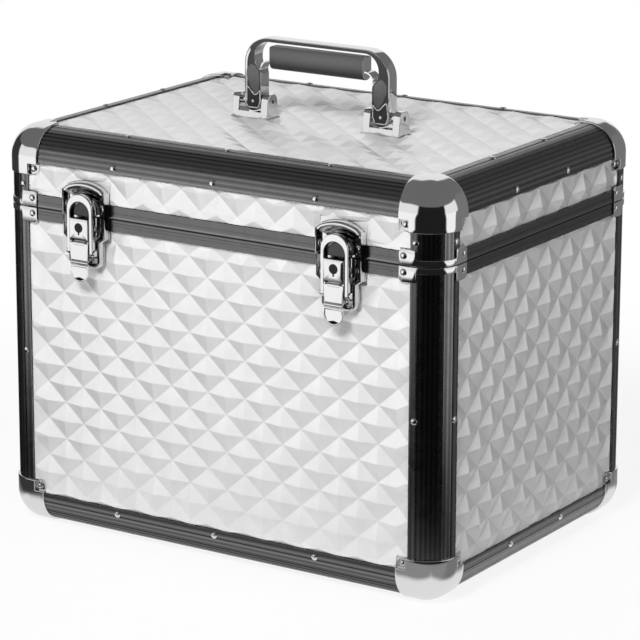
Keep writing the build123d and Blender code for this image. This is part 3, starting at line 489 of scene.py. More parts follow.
def make_skin(body, side, window, peak, flats):
    """Build a skin in a window (low u, low v, high u, high v), on a plate that closes it behind."""
    bm = bmesh.new()
    add_pyramids(bm, window, peak)
    for flat in flats:
        open_flat(bm, flat)
    bm.normal_update()
    folds = [e for e in bm.edges if len(e.link_faces) == 2 and e.calc_face_angle() > 0.1]
    bmesh.ops.bevel(
        bm, geom=folds, offset=FOLD_ROUND, offset_type="OFFSET", segments=2, profile=0.5,
        affect="EDGES", clamp_overlap=False,
    )
    rim = [e for e in bm.edges if e.is_boundary]
    walls = bmesh.ops.extrude_edge_only(bm, edges=rim)
    for item in walls["geom"]:
        if isinstance(item, bmesh.types.BMVert):
            item.co.z = PLATE_TOP
    plate = [(window[0], window[1]), (window[2], window[1]), (window[2], window[3]), (window[0], window[3])]
    stack(bm, plate, [(0, PLATE_BACK), (0, PLATE_TOP)], Matrix())
    bm.transform(FACES[side])
    link(f"skin_{body}_{side}", bm, ["skin"], body, "embossed_skin", f"{body}_panel_{side}", sharp=0)


def corner_flats(window, corners, size_u, size_v):
    """List the openings at a window's corners; a corner is (0 or 1, 0 or 1) for low or high."""
    flats = []
    for cu, cv in corners:
        u = window[2] - size_u if cu else window[0] - FIT
        v = window[3] - size_v if cv else window[1] - FIT
        flats.append((u, v, u + size_u + FIT, v + size_v + FIT))
    return flats


def pair(center, width, low, high):
    """List two openings, left and right of the middle."""
    reach = width / 2 + FIT
    return [(x - reach, low, x + reach, high) for x in (-center, center)]


def make_skins():
    ear, tab_u, tab_v = CAP_REACH - EDGE, TAB_REACH - EDGE, TAB - RIM
    low_ends, high_ends = ((0, 0), (1, 0)), ((0, 1), (1, 1))
    peaks = {
        "front": ((-6.6, 150.6), (4.0, 276.1)), "back": ((0.0, 150.6), (0.0, 276.1)),
        "left": ((-1.0, 126.6), (0.0, 279.0)), "right": ((-1.0, 126.6), (0.0, 279.0)),
    }
    for side, (base_peak, lid_peak) in peaks.items():
        half = (HW if side in ("front", "back") else HD) - EDGE - FIT
        base = (-half, FLOOR + EDGE + FIT, half, PARTING - RIM - FIT)
        lid = (-half, PARTING + RIM + FIT, half, TOP - EDGE - FIT)
        base_flats = corner_flats(base, low_ends, ear, ear) + corner_flats(base, high_ends, tab_u, tab_v)
        lid_flats = corner_flats(lid, high_ends, ear, ear) + corner_flats(lid, low_ends, tab_u, tab_v)
        if side == "front":
            base_flats += pair(LATCH_X, 31, PARTING - 40.8, PARTING - 20.3)
            base_flats += pair(LATCH_X, 41, PARTING - 20.3, PARTING)
            lid_flats += pair(LATCH_X, 41, PARTING, PARTING + 27.7)
        if side == "back":
            base_flats += pair(LATCH_X, 50, PARTING - 24.3, PARTING)
            lid_flats += pair(LATCH_X, 50, PARTING, PARTING + 24.3)
        make_skin("base", side, base, base_peak, base_flats)
        make_skin("lid", side, lid, lid_peak, lid_flats)
    half_u, half_v = HW - EDGE - FIT, HD - EDGE - FIT
    top = (-half_u, -half_v, half_u, half_v)
    flats = corner_flats(top, low_ends + high_ends, ear, ear) + pair(MOUNT_X, 36, -8.8, 8.8)
    make_skin("lid", "top", top, (4.0, 0.0), flats)


# Corner caps: a rounded corner with rolled edges and three sunk ears


CAP_ROUND, CAP_END = ROUND + CAP_SHEET, CAP_REACH + CAP_SHEET
EAR_START, EAR_DEPTH, ROLL = EDGE + 2 * CAP_SHEET, 3.05, 0.7
# Levels of a row: 0 on the face, 1 to 3 down the rolled edge of an ear, and 4 on its floor
EAR_FLOOR = 4


def cap_rows():
    """List the rows of a cap's grid, as (distance from the corner, drop, level), and each level's drop."""
    rolled = [math.radians(angle) for angle in (30, 60, 90)]
    rows = [(CAP_ROUND * (1 - math.tan(math.radians(45 - 5 * k))), 0.0, 0) for k in range(10)]
    rows += [(EAR_START - ROLL - 1.0, 0.0, 0), (EAR_START - ROLL, 0.0, 0)]
    rows += [(EAR_START - ROLL + ROLL * math.sin(turn), 0.0, k + 1) for k, turn in enumerate(rolled)]
    rows += [(at, 0.0, EAR_FLOOR) for at in (EAR_START, CAP_END - 3.0, CAP_END - ROLL)]
    rows += [
        (CAP_END - ROLL + ROLL * math.sin(turn), ROLL * (1 - math.cos(turn)), EAR_FLOOR) for turn in rolled
    ]
    rows.append((CAP_END, CAP_SHEET + 0.1, EAR_FLOOR))
    return rows, [0.0] + [ROLL * (1 - math.cos(turn)) for turn in rolled] + [EAR_DEPTH]


def cap_point(one, two, drops):
    """Place a point of a cap's face from its two rows, on the rounding and down into the ear."""
    (a, drop_a, level_a), (b, drop_b, level_b) = one, two
    drop = max(drop_a, drop_b, drops[min(level_a, level_b)])
    center = Vector((max(a, CAP_ROUND), max(b, CAP_ROUND), CAP_ROUND))
    return center + (Vector((a, b, 0)) - center).normalized() * (CAP_ROUND - drop)


def add_cap_face(bm, plane):
    """Add a third of a cap: its share of the rounding, two arms and the ear between them."""
    rows, drops = cap_rows()
    grid = [[bm.verts.new(plane @ cap_point(one, two, drops)) for two in rows] for one in rows]
    for i in range(len(rows) - 1):
        for j in range(len(rows) - 1):
            if rows[i][2] < EAR_FLOOR or rows[j][2] < EAR_FLOOR:
                bm.faces.new((grid[i][j], grid[i + 1][j], grid[i + 1][j + 1], grid[i][j + 1]))


def make_caps(body):
    near = EAR_START - 0.2
    ear = rounded([(near, near, 0), (CAP_END, near, 0), (CAP_END, CAP_END, 6.0), (near, CAP_END, 0)])
    ear_layers = [(0, -4.5), (0, -3.5), (0.2, -3.12), (0.6, -3.0), (1.1, -3.05), (1.7, -3.25)]
    z_corner, z_in = (0.0, 1) if body == "base" else (TOP + CAP_SHEET, -1)
    bm = bmesh.new()
    for sx in (-1, 1):
        for sy in (-1, 1):
            corner = Vector((sx * (HW + CAP_SHEET), sy * (HD + CAP_SHEET), z_corner))
            inward = (Vector((-sx, 0, 0)), Vector((0, -sy, 0)), Vector((0, 0, z_in)))
            for turn in range(3):
                first, second, third = inward[turn], inward[(turn + 1) % 3], inward[(turn + 2) % 3]
                for is_ear in (False, True):
                    depth = -third if is_ear else third
                    plane = Matrix((first, second, depth)).transposed().to_4x4()
                    plane.translation = corner
                    plane = Matrix.Scale(MM, 4) @ plane
                    if is_ear:
                        stack(bm, ear, ear_layers, plane)
                    else:
                        add_cap_face(bm, plane)
    link(f"cap_corners_{body}", bm, ["chrome"], body, "chrome", f"{body}_corner_caps")


# Rim brackets: a strip bent round each post, with a taller tab at each end


BRACKET_SHEET, BRACKET_START, END_ROUND, STEP_ROUND = 1.0, 0.4, 3.0, 1.6
BEND = ROUND + BRACKET_SHEET
# Along the strip from its middle: end of the bend, where the tabs start, and the end
BEND_END = BEND * math.pi / 4
STRIP_END = BEND_END + TAB_REACH - ROUND
STEP = STRIP_END - (TAB_REACH - TAB_START)


def bracket_height(s):
    """Give the strip's height at s, with rounded steps to the tabs and rounded tab corners."""
    s = abs(s)
    if s < STEP - STEP_ROUND:
        return BAND
    if s < STEP:
        return BAND + STEP_ROUND - math.sqrt(max(0, STEP_ROUND ** 2 - (s - STEP + STEP_ROUND) ** 2))
    if s < STEP + STEP_ROUND:
        return TAB - STEP_ROUND + math.sqrt(max(0, STEP_ROUND ** 2 - (STEP + STEP_ROUND - s) ** 2))
    if s > STRIP_END - END_ROUND:
        return TAB - END_ROUND + math.sqrt(max(0, END_ROUND ** 2 - (s - STRIP_END + END_ROUND) ** 2))
    return TAB


def bracket_wrap(s, out):
    """Wrap a place along the strip round the post; give its distances from the corner's two faces."""
    spoke = BEND - BRACKET_SHEET + out
    if abs(s) <= BEND_END:
        angle = math.pi / 4 + s / BEND
        return BEND - spoke * math.cos(angle), BEND - spoke * math.sin(angle)
    near, far = BEND - spoke, BEND + abs(s) - BEND_END
    return (far, near) if s > 0 else (near, far)


def make_brackets(body):
    stops = [STRIP_END * (k / 32 - 1) for k in range(65)]
    for sign in (-1, 1):
        stops += [sign * (STEP + d) for d in (-1.6, -1.2, -0.8, -0.4, -0.1, 0.0, 0.1, 0.4, 0.8, 1.2)]
        stops += [sign * (STRIP_END - d) for d in (0.05, 0.3, 0.7, 1.2, 1.8, 2.4, 3.0)]
    stops = sorted(set(round(s, 3) for s in stops))
    z_in = -1 if body == "base" else 1
    bm = bmesh.new()
    for sx in (-1, 1):
        for sy in (-1, 1):
            rows = []
            for s in stops:
                start, top = BRACKET_START, bracket_height(s)
                profile = [
                    (start, 0), (start, 0.6), (start + 0.12, 0.87), (start + 0.4, 1), (top - 0.4, 1),
                    (top - 0.12, 0.87), (top, 0.6), (top, 0),
                ]
                most = 0.6 if abs(s) > STRIP_END - 0.01 else 1.0
                row = []
                for z, out in profile:
                    a, b = bracket_wrap(s, min(out, most))
                    x, y = sx * (HW + BRACKET_SHEET - a), sy * (HD + BRACKET_SHEET - b)
                    row.append(bm.verts.new(Vector((x, y, PARTING + z_in * z)) * MM))
                rows.append(row)
            for one, two in zip(rows, rows[1:]):
                for k in range(len(one) - 1):
                    bm.faces.new((one[k], one[k + 1], two[k + 1], two[k]))
            bm.faces.new(rows[0])
            bm.faces.new(rows[-1])
    link(f"rim_brackets_{body}", bm, ["chrome"], body, "chrome", f"{body}_rim_corners")


# Rivets: a dome on the place of each plain rivet


def separate_forms(bm):
    """List the points of each form that isn't joined to the others."""
    seen, forms = set(), []
    for first in bm.verts:
        if first in seen:
            continue
        points, queue = [], [first]
        seen.add(first)
        while queue:
            vert = queue.pop()
            points.append(vert.co.copy())
            for edge in vert.link_edges:
                other = edge.other_vert(vert)
                if other not in seen:
                    seen.add(other)
                    queue.append(other)
        forms.append(points)
    return forms


def make_rivets(body):
    """Put a dome on each plain rivet's foot, the way that its narrow end points."""
    source = bmesh.new()
    source.from_mesh(nodes[f"{body}_rivets"].data)
    bmesh.ops.remove_doubles(source, verts=source.verts, dist=1e-6)
    profile = [(2.7, -0.1), (2.7, 0.2), (2.55, 0.5), (2.1, 0.88), (1.45, 1.14), (0.7, 1.27), (0, 1.3)]
    bm = bmesh.new()
    for points in separate_forms(source):
        middle = sum(points, Vector()) / len(points)
        widest = max((p - middle).length for p in points)
        wide = [p for p in points if (p - middle).length > 0.92 * widest]
        narrow = [p for p in points if p not in wide]
        foot, tip = sum(wide, Vector()) / len(wide), sum(narrow, Vector()) / max(1, len(narrow))
        up = (tip - foot).normalized()
        lathe(bm, plane_at(foot / MM, up.orthogonal(), up), profile, 20)
    source.free()
    link(f"domed_rivets_{body}", bm, ["chrome"], body, "rivet_steel", f"{body}_rivets", sharp=60)


# Latches; a latch is measured from the parting line and from the front of the case

LEVER_HALF = 8.65
LEVER_PIVOT, BAIL_PIVOT = (9.5, -20.5), (8.3, -27.0)
BAIL_OUTER, BAIL_INNER = 12.1, 9.0
LOCK_HEIGHT = -7.6


def latch_face(sign):
    """Give the plane of a latch: x across, y up and z out of the case."""
    return plane_at((sign * LATCH_X, -HD, PARTING), (1, 0, 0), (0, -1, 0))


def latch_side(sign, u):
    """Give the plane that cuts a latch at u: x out of the case and y up."""
    return plane_at((sign * LATCH_X + u, -HD, PARTING), (0, -1, 0), (-1, 0, 0))


def add_rod(bm, sign, pivot, radius, low, high, bevel=0.3):
    """Add a round bar across a latch, from low to high; its pivot is (out, up)."""
    spin = plane_at((sign * LATCH_X, -HD - pivot[0], PARTING + pivot[1]), (0, 0, 1), (1, 0, 0))
    profile = [(0, low), (radius - bevel, low), (radius, low + bevel)]
    profile += [(radius, high - bevel), (radius - bevel, high), (0, high)]
    lathe(bm, spin, profile)


def holed_roof(bm, plane, outline, hole, height, depth, mat=0):
    """Fill a flat roof round a hole, and give the hole its walls and floor."""
    edges = []
    for points in (outline, hole):
        rim = [bm.verts.new(plane @ Vector((p[0], p[1], height))) for p in points]
        edges += [bm.edges.new((rim[k], rim[(k + 1) % len(rim)])) for k in range(len(rim))]
    bmesh.ops.triangle_fill(bm, use_beauty=True, use_dissolve=False, edges=edges)
    floor = [bm.verts.new(plane @ Vector((p[0], p[1], height - depth))) for p in hole]
    for k in range(len(hole)):
        n = (k + 1) % len(hole)
        bm.faces.new((rim[k], rim[n], floor[n], floor[k])).material_index = mat
    bm.faces.new(floor).material_index = mat


def make_keeper(side, sign):
    """Build the keeper on the lid: a dished plate with an arched top, and the hook."""
    bm = bmesh.new()
    arch = arc(0, -11.16, 38.56, 60.4, 119.6, 16)
    outline = [(20.5, 0.6), (20.5, 19.0)] + arc(17.5, 19.0, 3.0, 15, 50, 3) + arch[1:-1]
    outline += arc(-17.5, 19.0, 3.0, 130, 165, 3) + [(-20.5, 19.0), (-20.5, 0.6)]
    weights = [0.3 if abs(u) > 19.9 else 1.0 for u, _ in outline]
    layers = [
        (0, 0), (0, 0.9), (0.35, 1.15), (0.6, 3.6), (0.8, 4.9), (1.2, 5.8), (1.8, 6.35), (2.6, 6.5),
        (3.6, 6.3), (5, 5.4), (6.6, 3.8), (7.6, 2.6), (8.6, 1.7), (9.6, 1.4),
    ]
    stack(bm, outline, layers, latch_face(sign), closed=False, weights=weights)
    # The hook is chrome painted dark, as the shade of its recess behind the bail
    hook = [(-8.25, 0.8), (8.25, 0.8)] + arc(0, 3.5, 8.25, 0, 180, 20)
    stack(bm, hook, [(0, 1.2), (0, 7.2), (0.25, 7.75), (0.8, 8.0)], latch_face(sign), mat=1)
    link(f"keeper_{side}", bm, ["chrome", "shade_painted_chrome"], "lid", "chrome", f"latch_keeper_{side}")


def make_plate(side, sign):
    """Build the plate on the base, with the lock's housing and the lever's lugs."""
    bm = bmesh.new()
    face = latch_face(sign)
    outline = [(-20.5, -0.6), (-20.5, -16.6), (-15.5, -20.3)] + arc(-9.5, -34.5, 6.0, 180, 270, 6)
    outline += arc(9.5, -34.5, 6.0, 270, 360, 6) + [(15.5, -20.3), (20.5, -16.6), (20.5, -0.6)]
    layers = [
        (0, 0), (0, 0.9), (0.35, 1.15), (0.6, 3.8), (0.85, 5.2), (1.3, 6.1), (1.9, 6.5), (2.4, 6.3),
        (2.8, 5.6), (3, 4), (3.1, 2), (3.6, 1.4),
    ]
    stack(bm, outline, layers, face, closed=False)
    roof = 12.4
    housing = rounded([(-8.65, -17, 1), (8.65, -17, 1), (8.65, -0.6, 0.6), (-8.65, -0.6, 0.6)], 3)
    stack(bm, housing, [(0, 1.2), (0, 11.9), (0.15, 12.25), (0.5, roof)], face, roof=False)
    # The keyhole is only 0.9 mm deep; its walls and floor are painted dark, as the shade inside it
    keyhole = arc(0, LOCK_HEIGHT, 3.85, -79.5, 259.5, 28) + [(-0.7, -13.4), (0.7, -13.4)]
    holed_roof(bm, face, inset(housing, 0.5, True, None), keyhole, roof, 0.9, 1)
    out, height = LEVER_PIVOT
    lug = [(1.0, -22.7), (out, -22.7)] + arc(out, height, 2.2, -90, 90, 8)[1:] + [(1.0, -18.3)]
    for place in (-6.45, 6.45):
        stack(bm, lug, [(0.15, -0.75), (0, -0.6), (0, 0.6), (0.15, 0.75)], latch_side(sign, place))
    link(f"plate_{side}", bm, ["chrome", "dark"], "base", "chrome", f"latch_plate_{side}")


def make_lever(side, sign):
    """Build the lever: flap, bar, tongue, cheeks and barrel."""
    bm = bmesh.new()
    face = latch_face(sign)
    flap = [(-7.95, -33.2), (7.95, -33.2), (LEVER_HALF, -19.6), (-LEVER_HALF, -19.6)]
    stack(bm, flap, [(0.3, 11.0), (0, 11.2), (0, 12.1), (0.12, 12.32), (0.45, 12.42)], face)
    add_rod(bm, sign, (10.9, -35.1), 1.6, -8.6, 8.6, 0.5)
    tongue = [(LEVER_HALF, -37.0), (-LEVER_HALF, -37.0)] + arc(0, -41.75, LEVER_HALF, 180, 360, 24)
    layers = [(0.3, 11.0), (0, 11.25), (0, 11.9), (0.15, 12.25), (0.6, 12.4), (1.1, 12.3), (1.6, 12.1)]
    stack(bm, tongue, layers, face)
    # The half-moon is a dark sheet laid on the tongue, painted shade in place of a recess
    moon = arc(0, -44.2, 5.4, 224, 316, 12) + arc(0, -52.6, 6.0, 49.5, 130.5, 10)
    stack(bm, moon, [(0, 11.9), (0, 12.2), (0.2, 12.3)], face, mat=1)
    out, height = LEVER_PIVOT
    cheek = [(4.0, -33.2), (9.5, -37.0), (11.6, -37.0), (11.6, height)]
    cheek += arc(out, height, 3.0, 45, 180, 8) + [(4.0, height)]
    for place in (-8.05, 8.05):
        stack(bm, cheek, [(0.2, -0.6), (0, -0.45), (0, 0.45), (0.2, 0.6)], latch_side(sign, place))
    add_rod(bm, sign, LEVER_PIVOT, 3.0, -5.45, 5.45)
    link(f"lever_{side}", bm, ["chrome", "dark"], f"lever_{side}", "chrome", f"latch_lever_{side}")


def make_bail(side, sign):
    """Build the bail: a bow of rounded section, with an eye at each end."""
    bm = bmesh.new()
    low = BAIL_PIVOT[1]
    outline = [(BAIL_INNER, low), (BAIL_OUTER, low)] + arc(0, 6.4, BAIL_OUTER, 0, 180, 28)
    outline += [(-BAIL_OUTER, low), (-BAIL_INNER, low)] + arc(0, 3.5, BAIL_INNER, 180, 0, 28)
    layers = [(0.3, 5.3), (0, 5.5), (0, 10.4), (0.2, 11.0), (0.5, 11.3), (0.9, 11.25)]
    stack(bm, outline, layers, latch_face(sign))
    for eye in (-1, 1):
        near, far = sorted((eye * BAIL_INNER, eye * BAIL_OUTER))
        add_rod(bm, sign, BAIL_PIVOT, 3.0, near, far, 0.4)
    link(f"bail_{side}_bow", bm, ["chrome"], f"bail_{side}", "chrome", f"latch_bail_{side}")


# Handle; its plane stands upright, with x across the case and y up from the top panel's floor

HANDLE = plane_at((0, 0, TOP - RECESS), (1, 0, 0), (0, -1, 0))
PIVOT_HIGH = 14.0
BOW_HALF, BOW_HIGH, BOW_ROUND, BOW_BAND = 67.0, 65.6, 22.0, 3.2
LEG_IN, FOOT_IN, LEG_ROUND = 57.4, 51.5, 13.0


def mirrored(points):
    """Mirror an outline from right to left, and keep it anticlockwise."""
    return [(-point[0], *point[1:]) for point in reversed(points)]


def add_bow(bm):
    """Add the flat bow with its two legs and rounded feet."""
    right = [(BOW_HALF, PIVOT_HIGH)] + arc(BOW_HALF - BOW_ROUND, BOW_HIGH - BOW_ROUND, BOW_ROUND, 0, 90, 16)
    outer = right + mirrored(right)
    foot_at, foot_round = (BOW_HALF + FOOT_IN) / 2, (BOW_HALF - FOOT_IN) / 2
    left_foot = arc(-foot_at, PIVOT_HIGH, foot_round, 180, 360, 10)[1:-1]
    right_foot = arc(foot_at, PIVOT_HIGH, foot_round, 180, 360, 10)[1:-1]
    inner = [(-FOOT_IN, PIVOT_HIGH), (-FOOT_IN, 36.0), (-52.0, 38.0), (-54.6, 41.2), (-56.8, 44.4)]
    inner += [(-LEG_IN, 47.5)]
    inner += arc(LEG_ROUND - LEG_IN, BOW_HIGH - BOW_BAND - LEG_ROUND, LEG_ROUND, 180, 90, 12)
    outline = outer + left_foot + inner + mirrored(inner) + right_foot
    # The left end has a wider chamfer than the rest
    weights = [4.0 if u < -63 else 1.0 for u, _ in outer] + [0.5] * len(left_foot)
    weights += [0.35] * (2 * len(inner)) + [0.5] * len(right_foot)
    layers = [
        (0.5, -6.0), (0.25, -5.9), (0.08, -5.6), (0, -5.1), (0, 5.1), (0.08, 5.6), (0.25, 5.9), (0.5, 6.0),
        (0.55, 5.9),
    ]
    # The front face is chrome painted dark, as the shade of a shallow recess
    stack(bm, outline, layers, HANDLE, weights=weights, roof_mat=1)


def add_strap(bm, sign):
    """Add the strap that carries the grip, curved in from a leg."""
    path = [(52.2, 20.0), (52.2, 30.0), (52.2, 39.5)] + arc(43.9, 39.5, 8.3, 10, 90, 8) + [(40.0, 47.8)]
    path = [Vector((sign * u, v)) for u, v in path]
    rows = []
    for k, at in enumerate(path):
        run = (path[min(len(path) - 1, k + 1)] - path[max(0, k - 1)]).normalized()
        side = Vector((-run.y, run.x)) * 0.6
        wide = 3.2 + 2.0 * min(1.0, (at.y - 20.0) / 22.0)
        edges = ((at - side, -wide), (at - side, wide), (at + side, wide), (at + side, -wide))
        rows.append([bm.verts.new(HANDLE @ Vector((p.x, p.y, y))) for p, y in edges])
    for one, two in zip(rows, rows[1:]):
        for k in range(4):
            n = (k + 1) % 4
            bm.faces.new((one[k], one[n], two[n], two[k]))
    bm.faces.new(rows[0])
    bm.faces.new(rows[-1])


def add_leg_trim(bm, sign):
    """Add the leaf pressed into a leg's front, the crinkled foot plate and the boss over the pin."""
    leaf = [
        (57.0, 20.0), (61.5, 26.0), (64.6, 33.0), (65.0, 39.0), (61.0, 43.6), (57.0, 42.5), (53.4, 38.0),
        (52.6, 31.0), (53.4, 24.0),
    ]
    foot = rounded([
        (51.9, 14.0, 0), (54.2, 8.6, 2.5), (64.3, 8.6, 2.5), (66.6, 14.0, 0), (65.4, 27.5, 1.5),
        (62.4, 24.5, 3), (57.0, 19.0, 2), (52.2, 24.0, 0.5),
    ], 4)
    if sign < 0:
        leaf, foot = mirrored(leaf), mirrored(foot)
    stack(bm, leaf, [(0, 5.6), (0, 5.9), (0.4, 5.98)], HANDLE, mat=2)
    stack(bm, foot, [(0, 5.5), (0, 5.9), (0.5, 6.0), (1.2, 5.75)], HANDLE, mat=3)
    boss = plane_at((sign * 59.2, -5.7, TOP - RECESS + PIVOT_HIGH), (1, 0, 0), (0, -1, 0))
    lathe(bm, boss, [(2.4, -0.6), (2.2, -0.1), (1.5, 0.18), (0, 0.26)], 20)


def make_bow():
    bm = bmesh.new()
    add_bow(bm)
    for sign in (-1, 1):
        add_strap(bm, sign)
        add_leg_trim(bm, sign)
    materials = ["chrome", "shade_painted_chrome", "grey_chrome", "crinkled"]
    link("handle_strap_bow", bm, materials, "handle", "chrome", "handle_bow")


def make_grip():
    """Build the grip: a moulded sleeve with a rounded underside and a thin plate at each end."""
    bm = bmesh.new()
    low, top, deep = 40.6, 59.2, 6.2
    section = rounded([(-deep, low, 6.0), (deep, low, 6.0), (deep, top, 2.6), (-deep, top, 2.6)], 8)
    along = plane_at((0, 0, TOP - RECESS), (0, 1, 0), (1, 0, 0))
    layers = [(0.5, -43.3), (0.15, -43.15), (0, -42.8), (0, 42.8), (0.15, 43.15), (0.5, 43.3)]
    stack(bm, section, layers, along)
    for start, end in ((-43.5, -43.2), (43.2, 43.5)):
        layers = [(0.35, start), (0.25, start + 0.08), (0.25, end - 0.08), (0.35, end)]
        stack(bm, section, layers, along, mat=1)
    link("handle_sleeve", bm, ["grip", "chrome"], "handle", "grip_plastic", "handle_grip")


def make_mount(side, sign):
    """Build a mount: two rounded cheeks on a floor, with the pin's bore in the ends."""
    bm = bmesh.new()
    middle = plane_at((sign * MOUNT_X, 0, TOP - RECESS), (0, 1, 0), (1, 0, 0))
    section = rounded([(-8.5, 0, 0), (8.5, 0, 0), (5.8, 19.8, 5.0), (-5.8, 19.8, 5.0)], 8)
    for end in (-1, 1):
        layers = [(0.5, 10.25), (0.12, 10.4), (0, 10.75), (0, 16.3), (0.12, 16.7), (0.5, 16.9)]
        if end < 0:
            layers = [(amount, -height) for amount, height in reversed(layers)]
        stack(bm, section, layers, middle)
        bore = plane_at((sign * MOUNT_X + end * 16.9, 0, TOP - RECESS + PIVOT_HIGH), (0, 1, 0), (end, 0, 0))
        lathe(bm, bore, [(2.3, -0.3), (2.2, 0.06), (1.7, 0.12), (1.55, 0.02)], 20)
        # The bore's end is a dark disc, painted shade inside the bore
        lathe(bm, bore, [(1.6, -0.2), (1.6, 0.03), (0, 0.03)], 20, 1)
    pad = [(-8.5, 0), (8.5, 0), (7.7, 5.8), (-7.7, 5.8)]
    stack(bm, pad, [(0, -10.6), (0, 10.6)], middle)
    skirt = rounded([(-18.0, -8.5, 1), (18.0, -8.5, 1), (18.0, 8.5, 1), (-18.0, 8.5, 1)], 3)
    upright = plane_at((sign * MOUNT_X, 0, TOP - RECESS), (1, 0, 0), (0, 0, 1))
    stack(bm, skirt, [(0, 0), (0, 0.9), (0.3, 1.3), (0.8, 1.5)], upright)
    link(f"mount_{side}", bm, ["chrome", "dark"], "lid", "chrome", f"handle_base_{side}")


make_skins()
for part in ("base", "lid"):
    make_caps(part)
    make_brackets(part)
    make_rivets(part)
SIDES = (("left", -1), ("right", 1))
for side, sign in SIDES:
    make_keeper(side, sign)
    make_plate(side, sign)
    make_lever(side, sign)
    make_bail(side, sign)
make_bow()
make_grip()
for side, sign in SIDES:
    make_mount(side, sign)


# Room, light and camera

# Strengths of what the metal mirrors: walls, ceiling, the floor close by, and the light on matt pieces
WALLS, CEILING, NEAR, AMBIENT = 0.85, 0.15, 0.26, 0.096
# Dark screens round the box: azimuth from the front, half width in degrees, and strength
SCREENS = ((35.5, 46.0, 0.014), (160.0, 26.0, 0.19), (-88.0, 26.0, 0.04))


def split(tree, vector):
    """Give x, y, z and the level distance of a vector."""
    parts = tree.nodes.new("ShaderNodeSeparateXYZ")
    tree.links.new(vector, parts.inputs[0])
    x, y, z = parts.outputs["X"], parts.outputs["Y"], parts.outputs["Z"]
    squares = math_node(tree, "ADD", math_node(tree, "MULTIPLY", x, x), math_node(tree, "MULTIPLY", y, y))
    return x, y, z, math_node(tree, "MAXIMUM", math_node(tree, "SQRT", squares), 0.0001)


def sector(tree, x, y, flat, azimuth, half, soft=3.0):
    """Give 1 in the sector whose middle lies at an azimuth from the front, and 0 outside it."""
    turn = math.radians(azimuth)
    along_x = math_node(tree, "MULTIPLY", x, math.sin(turn))
    along = math_node(tree, "MULTIPLY_ADD", y, -math.cos(turn), along_x)
    share = math_node(tree, "DIVIDE", along, flat)
    return smooth(tree, share, math.cos(math.radians(half + soft)), math.cos(math.radians(half - soft)))


def mix_shaders(tree, fac, first, second):
    node = tree.nodes.new("ShaderNodeMixShader")
    tree.links.new(fac, node.inputs["Fac"])
    tree.links.new(first, node.inputs[1])
    tree.links.new(second, node.inputs[2])
    return node.outputs["Shader"]


def level(tree, kind, strength):
    """Add a white background or emission of one strength."""
    node = tree.nodes.new(kind)
    node.inputs["Color"].default_value = (1, 1, 1, 1)
    node.inputs["Strength"].default_value = strength
    return node.outputs[0]


def make_world():
    world = bpy.data.worlds.new("studio")
    bpy.context.scene.world = world
    world.use_nodes = True
    tree = world.node_tree
    tree.nodes.remove(tree.nodes["Background"])
    coords = tree.nodes.new("ShaderNodeTexCoord")
    x, y, z, flat = split(tree, coords.outputs["Generated"])
    kind = "ShaderNodeBackground"
    white, walls, ceiling = (level(tree, kind, strength) for strength in (1.0, WALLS, CEILING))
    around = walls
    for azimuth, half, strength in SCREENS:
        screen = sector(tree, x, y, flat, azimuth, half)
        around = mix_shaders(tree, screen, around, level(tree, kind, strength))
    room = mix_shaders(tree, smooth(tree, z, 0.36, 0.42), around, ceiling)
    # One wall at the back left is taller than the rest
    tall = math_node(tree, "MULTIPLY", sector(tree, x, y, flat, -140, 26), smooth(tree, z, 0.78, 0.68))
    room = mix_shaders(tree, tall, room, walls)
    path = tree.nodes.new("ShaderNodeLightPath")
    both = mix_shaders(tree, path.outputs["Is Glossy Ray"], level(tree, kind, AMBIENT), room)
    final = mix_shaders(tree, path.outputs["Is Camera Ray"], both, white)
    tree.links.new(final, tree.nodes["World Output"].inputs["Surface"])


def mirrored_floor(tree, white):
    """Give the floor as the metal mirrors it: bright at the box, then a dark ring, then white."""
    geometry = tree.nodes.new("ShaderNodeNewGeometry")
    x, y, _, flat = split(tree, geometry.outputs["Position"])
    kind = "ShaderNodeEmission"
    sides = [
        math_node(tree, "SUBTRACT", math_node(tree, "ABSOLUTE", axis), half * MM)
        for axis, half in ((x, HW), (y, HD))
    ]
    away = math_node(tree, "MAXIMUM", *sides)
    near = smooth(tree, away, 0.02, 0.06)
    floor = mix_shaders(tree, near, level(tree, kind, 0.8), level(tree, kind, NEAR))
    floor = mix_shaders(tree, smooth(tree, away, 0.28, 0.62), floor, white)
    beyond = smooth(tree, flat, 0.32, 0.4)
    for azimuth, half, strength in SCREENS:
        dim = math_node(tree, "MULTIPLY", sector(tree, x, y, flat, azimuth, half), beyond)
        floor = mix_shaders(tree, dim, floor, level(tree, kind, strength))
    # The screen behind on the right reaches up to the box's right side
    behind = math_node(tree, "ADD", y, math_node(tree, "MULTIPLY_ADD", x, -0.7, 0.34))
    dim = math_node(tree, "MULTIPLY", smooth(tree, behind, 0.0, 0.05), smooth(tree, x, 0.22, 0.25))
    floor = mix_shaders(tree, dim, floor, level(tree, kind, SCREENS[1][2]))
    # The screen on the left has a wide foot close to the box
    ring = math_node(tree, "MULTIPLY", smooth(tree, flat, 0.28, 0.32), smooth(tree, flat, 0.68, 0.6))
    dim = math_node(tree, "MULTIPLY", sector(tree, x, y, flat, -73, 41), ring)
    floor = mix_shaders(tree, dim, floor, level(tree, kind, SCREENS[2][2]))
    share = math_node(tree, "MULTIPLY_ADD", smooth(tree, flat, 0.35, 0.8), 0.12, 0.88)
    return floor, share


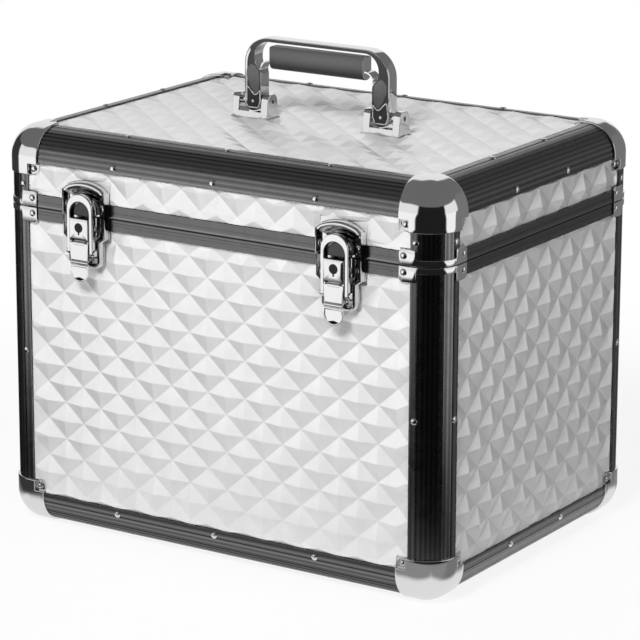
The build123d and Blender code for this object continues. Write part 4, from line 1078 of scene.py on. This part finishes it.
def make_floor():
    mesh = bpy.data.meshes.new("floor")
    reach = 6.0
    corners = [(-reach, -reach, 0), (reach, -reach, 0), (reach, reach, 0), (-reach, reach, 0)]
    mesh.from_pydata(corners, [], [(0, 1, 2, 3)])
    floor = bpy.data.objects.new("floor", mesh)
    bpy.context.scene.collection.objects.link(floor)
    mat, tree, shader = principled("floor_white", 0.85, 0.0, 0.9)
    white = level(tree, "ShaderNodeEmission", 1.0)
    in_mirror, share = mirrored_floor(tree, white)
    path = tree.nodes.new("ShaderNodeLightPath")
    seen = mix_shaders(tree, share, shader.outputs["BSDF"], white)
    both = mix_shaders(tree, path.outputs["Is Camera Ray"], shader.outputs["BSDF"], seen)
    final = mix_shaders(tree, path.outputs["Is Glossy Ray"], both, in_mirror)
    tree.links.new(final, tree.nodes["Material Output"].inputs["Surface"])
    mesh.materials.append(mat)


def make_light(name, place, size, power):
    """Hang a round soft lamp that shines on the box's middle and isn't mirrored."""
    data = bpy.data.lights.new(name, "AREA")
    data.shape = "DISK"
    data.size = size
    data.energy = power
    lamp = bpy.data.objects.new(name, data)
    lamp.location = place
    aim = Vector((0, 0, BOX_MIDDLE)) - Vector(place)
    lamp.rotation_euler = aim.to_track_quat("-Z", "Y").to_euler()
    lamp.visible_glossy = False
    bpy.context.scene.collection.objects.link(lamp)


make_world()
make_floor()
make_light("key", (0.4, -2.0, 1.95), 0.8, 75)
make_light("rear", (-0.9, 2.5, 0.7), 1.0, 20)
make_light("fill", (2.2, -1.2, 1.5), 1.2, 12)

# The camera is fitted to the photo's straight edges
camera_data = bpy.data.cameras.new("camera")
camera_data.lens = 185.035
camera_data.sensor_width = 36.0
camera_data.clip_end = 50
camera = bpy.data.objects.new("camera", camera_data)
camera.matrix_world = (
    Matrix.Translation((1.37221, -2.11522, 0.84156)) @ Matrix.Rotation(math.radians(32.96), 4, "Z")
    @ Matrix.Rotation(math.radians(90 - 15.102), 4, "X") @ Matrix.Rotation(math.radians(0.139), 4, "Z")
)
bpy.context.scene.collection.objects.link(camera)
bpy.context.scene.camera = camera
bpy.context.scene.view_settings.view_transform = "Standard"
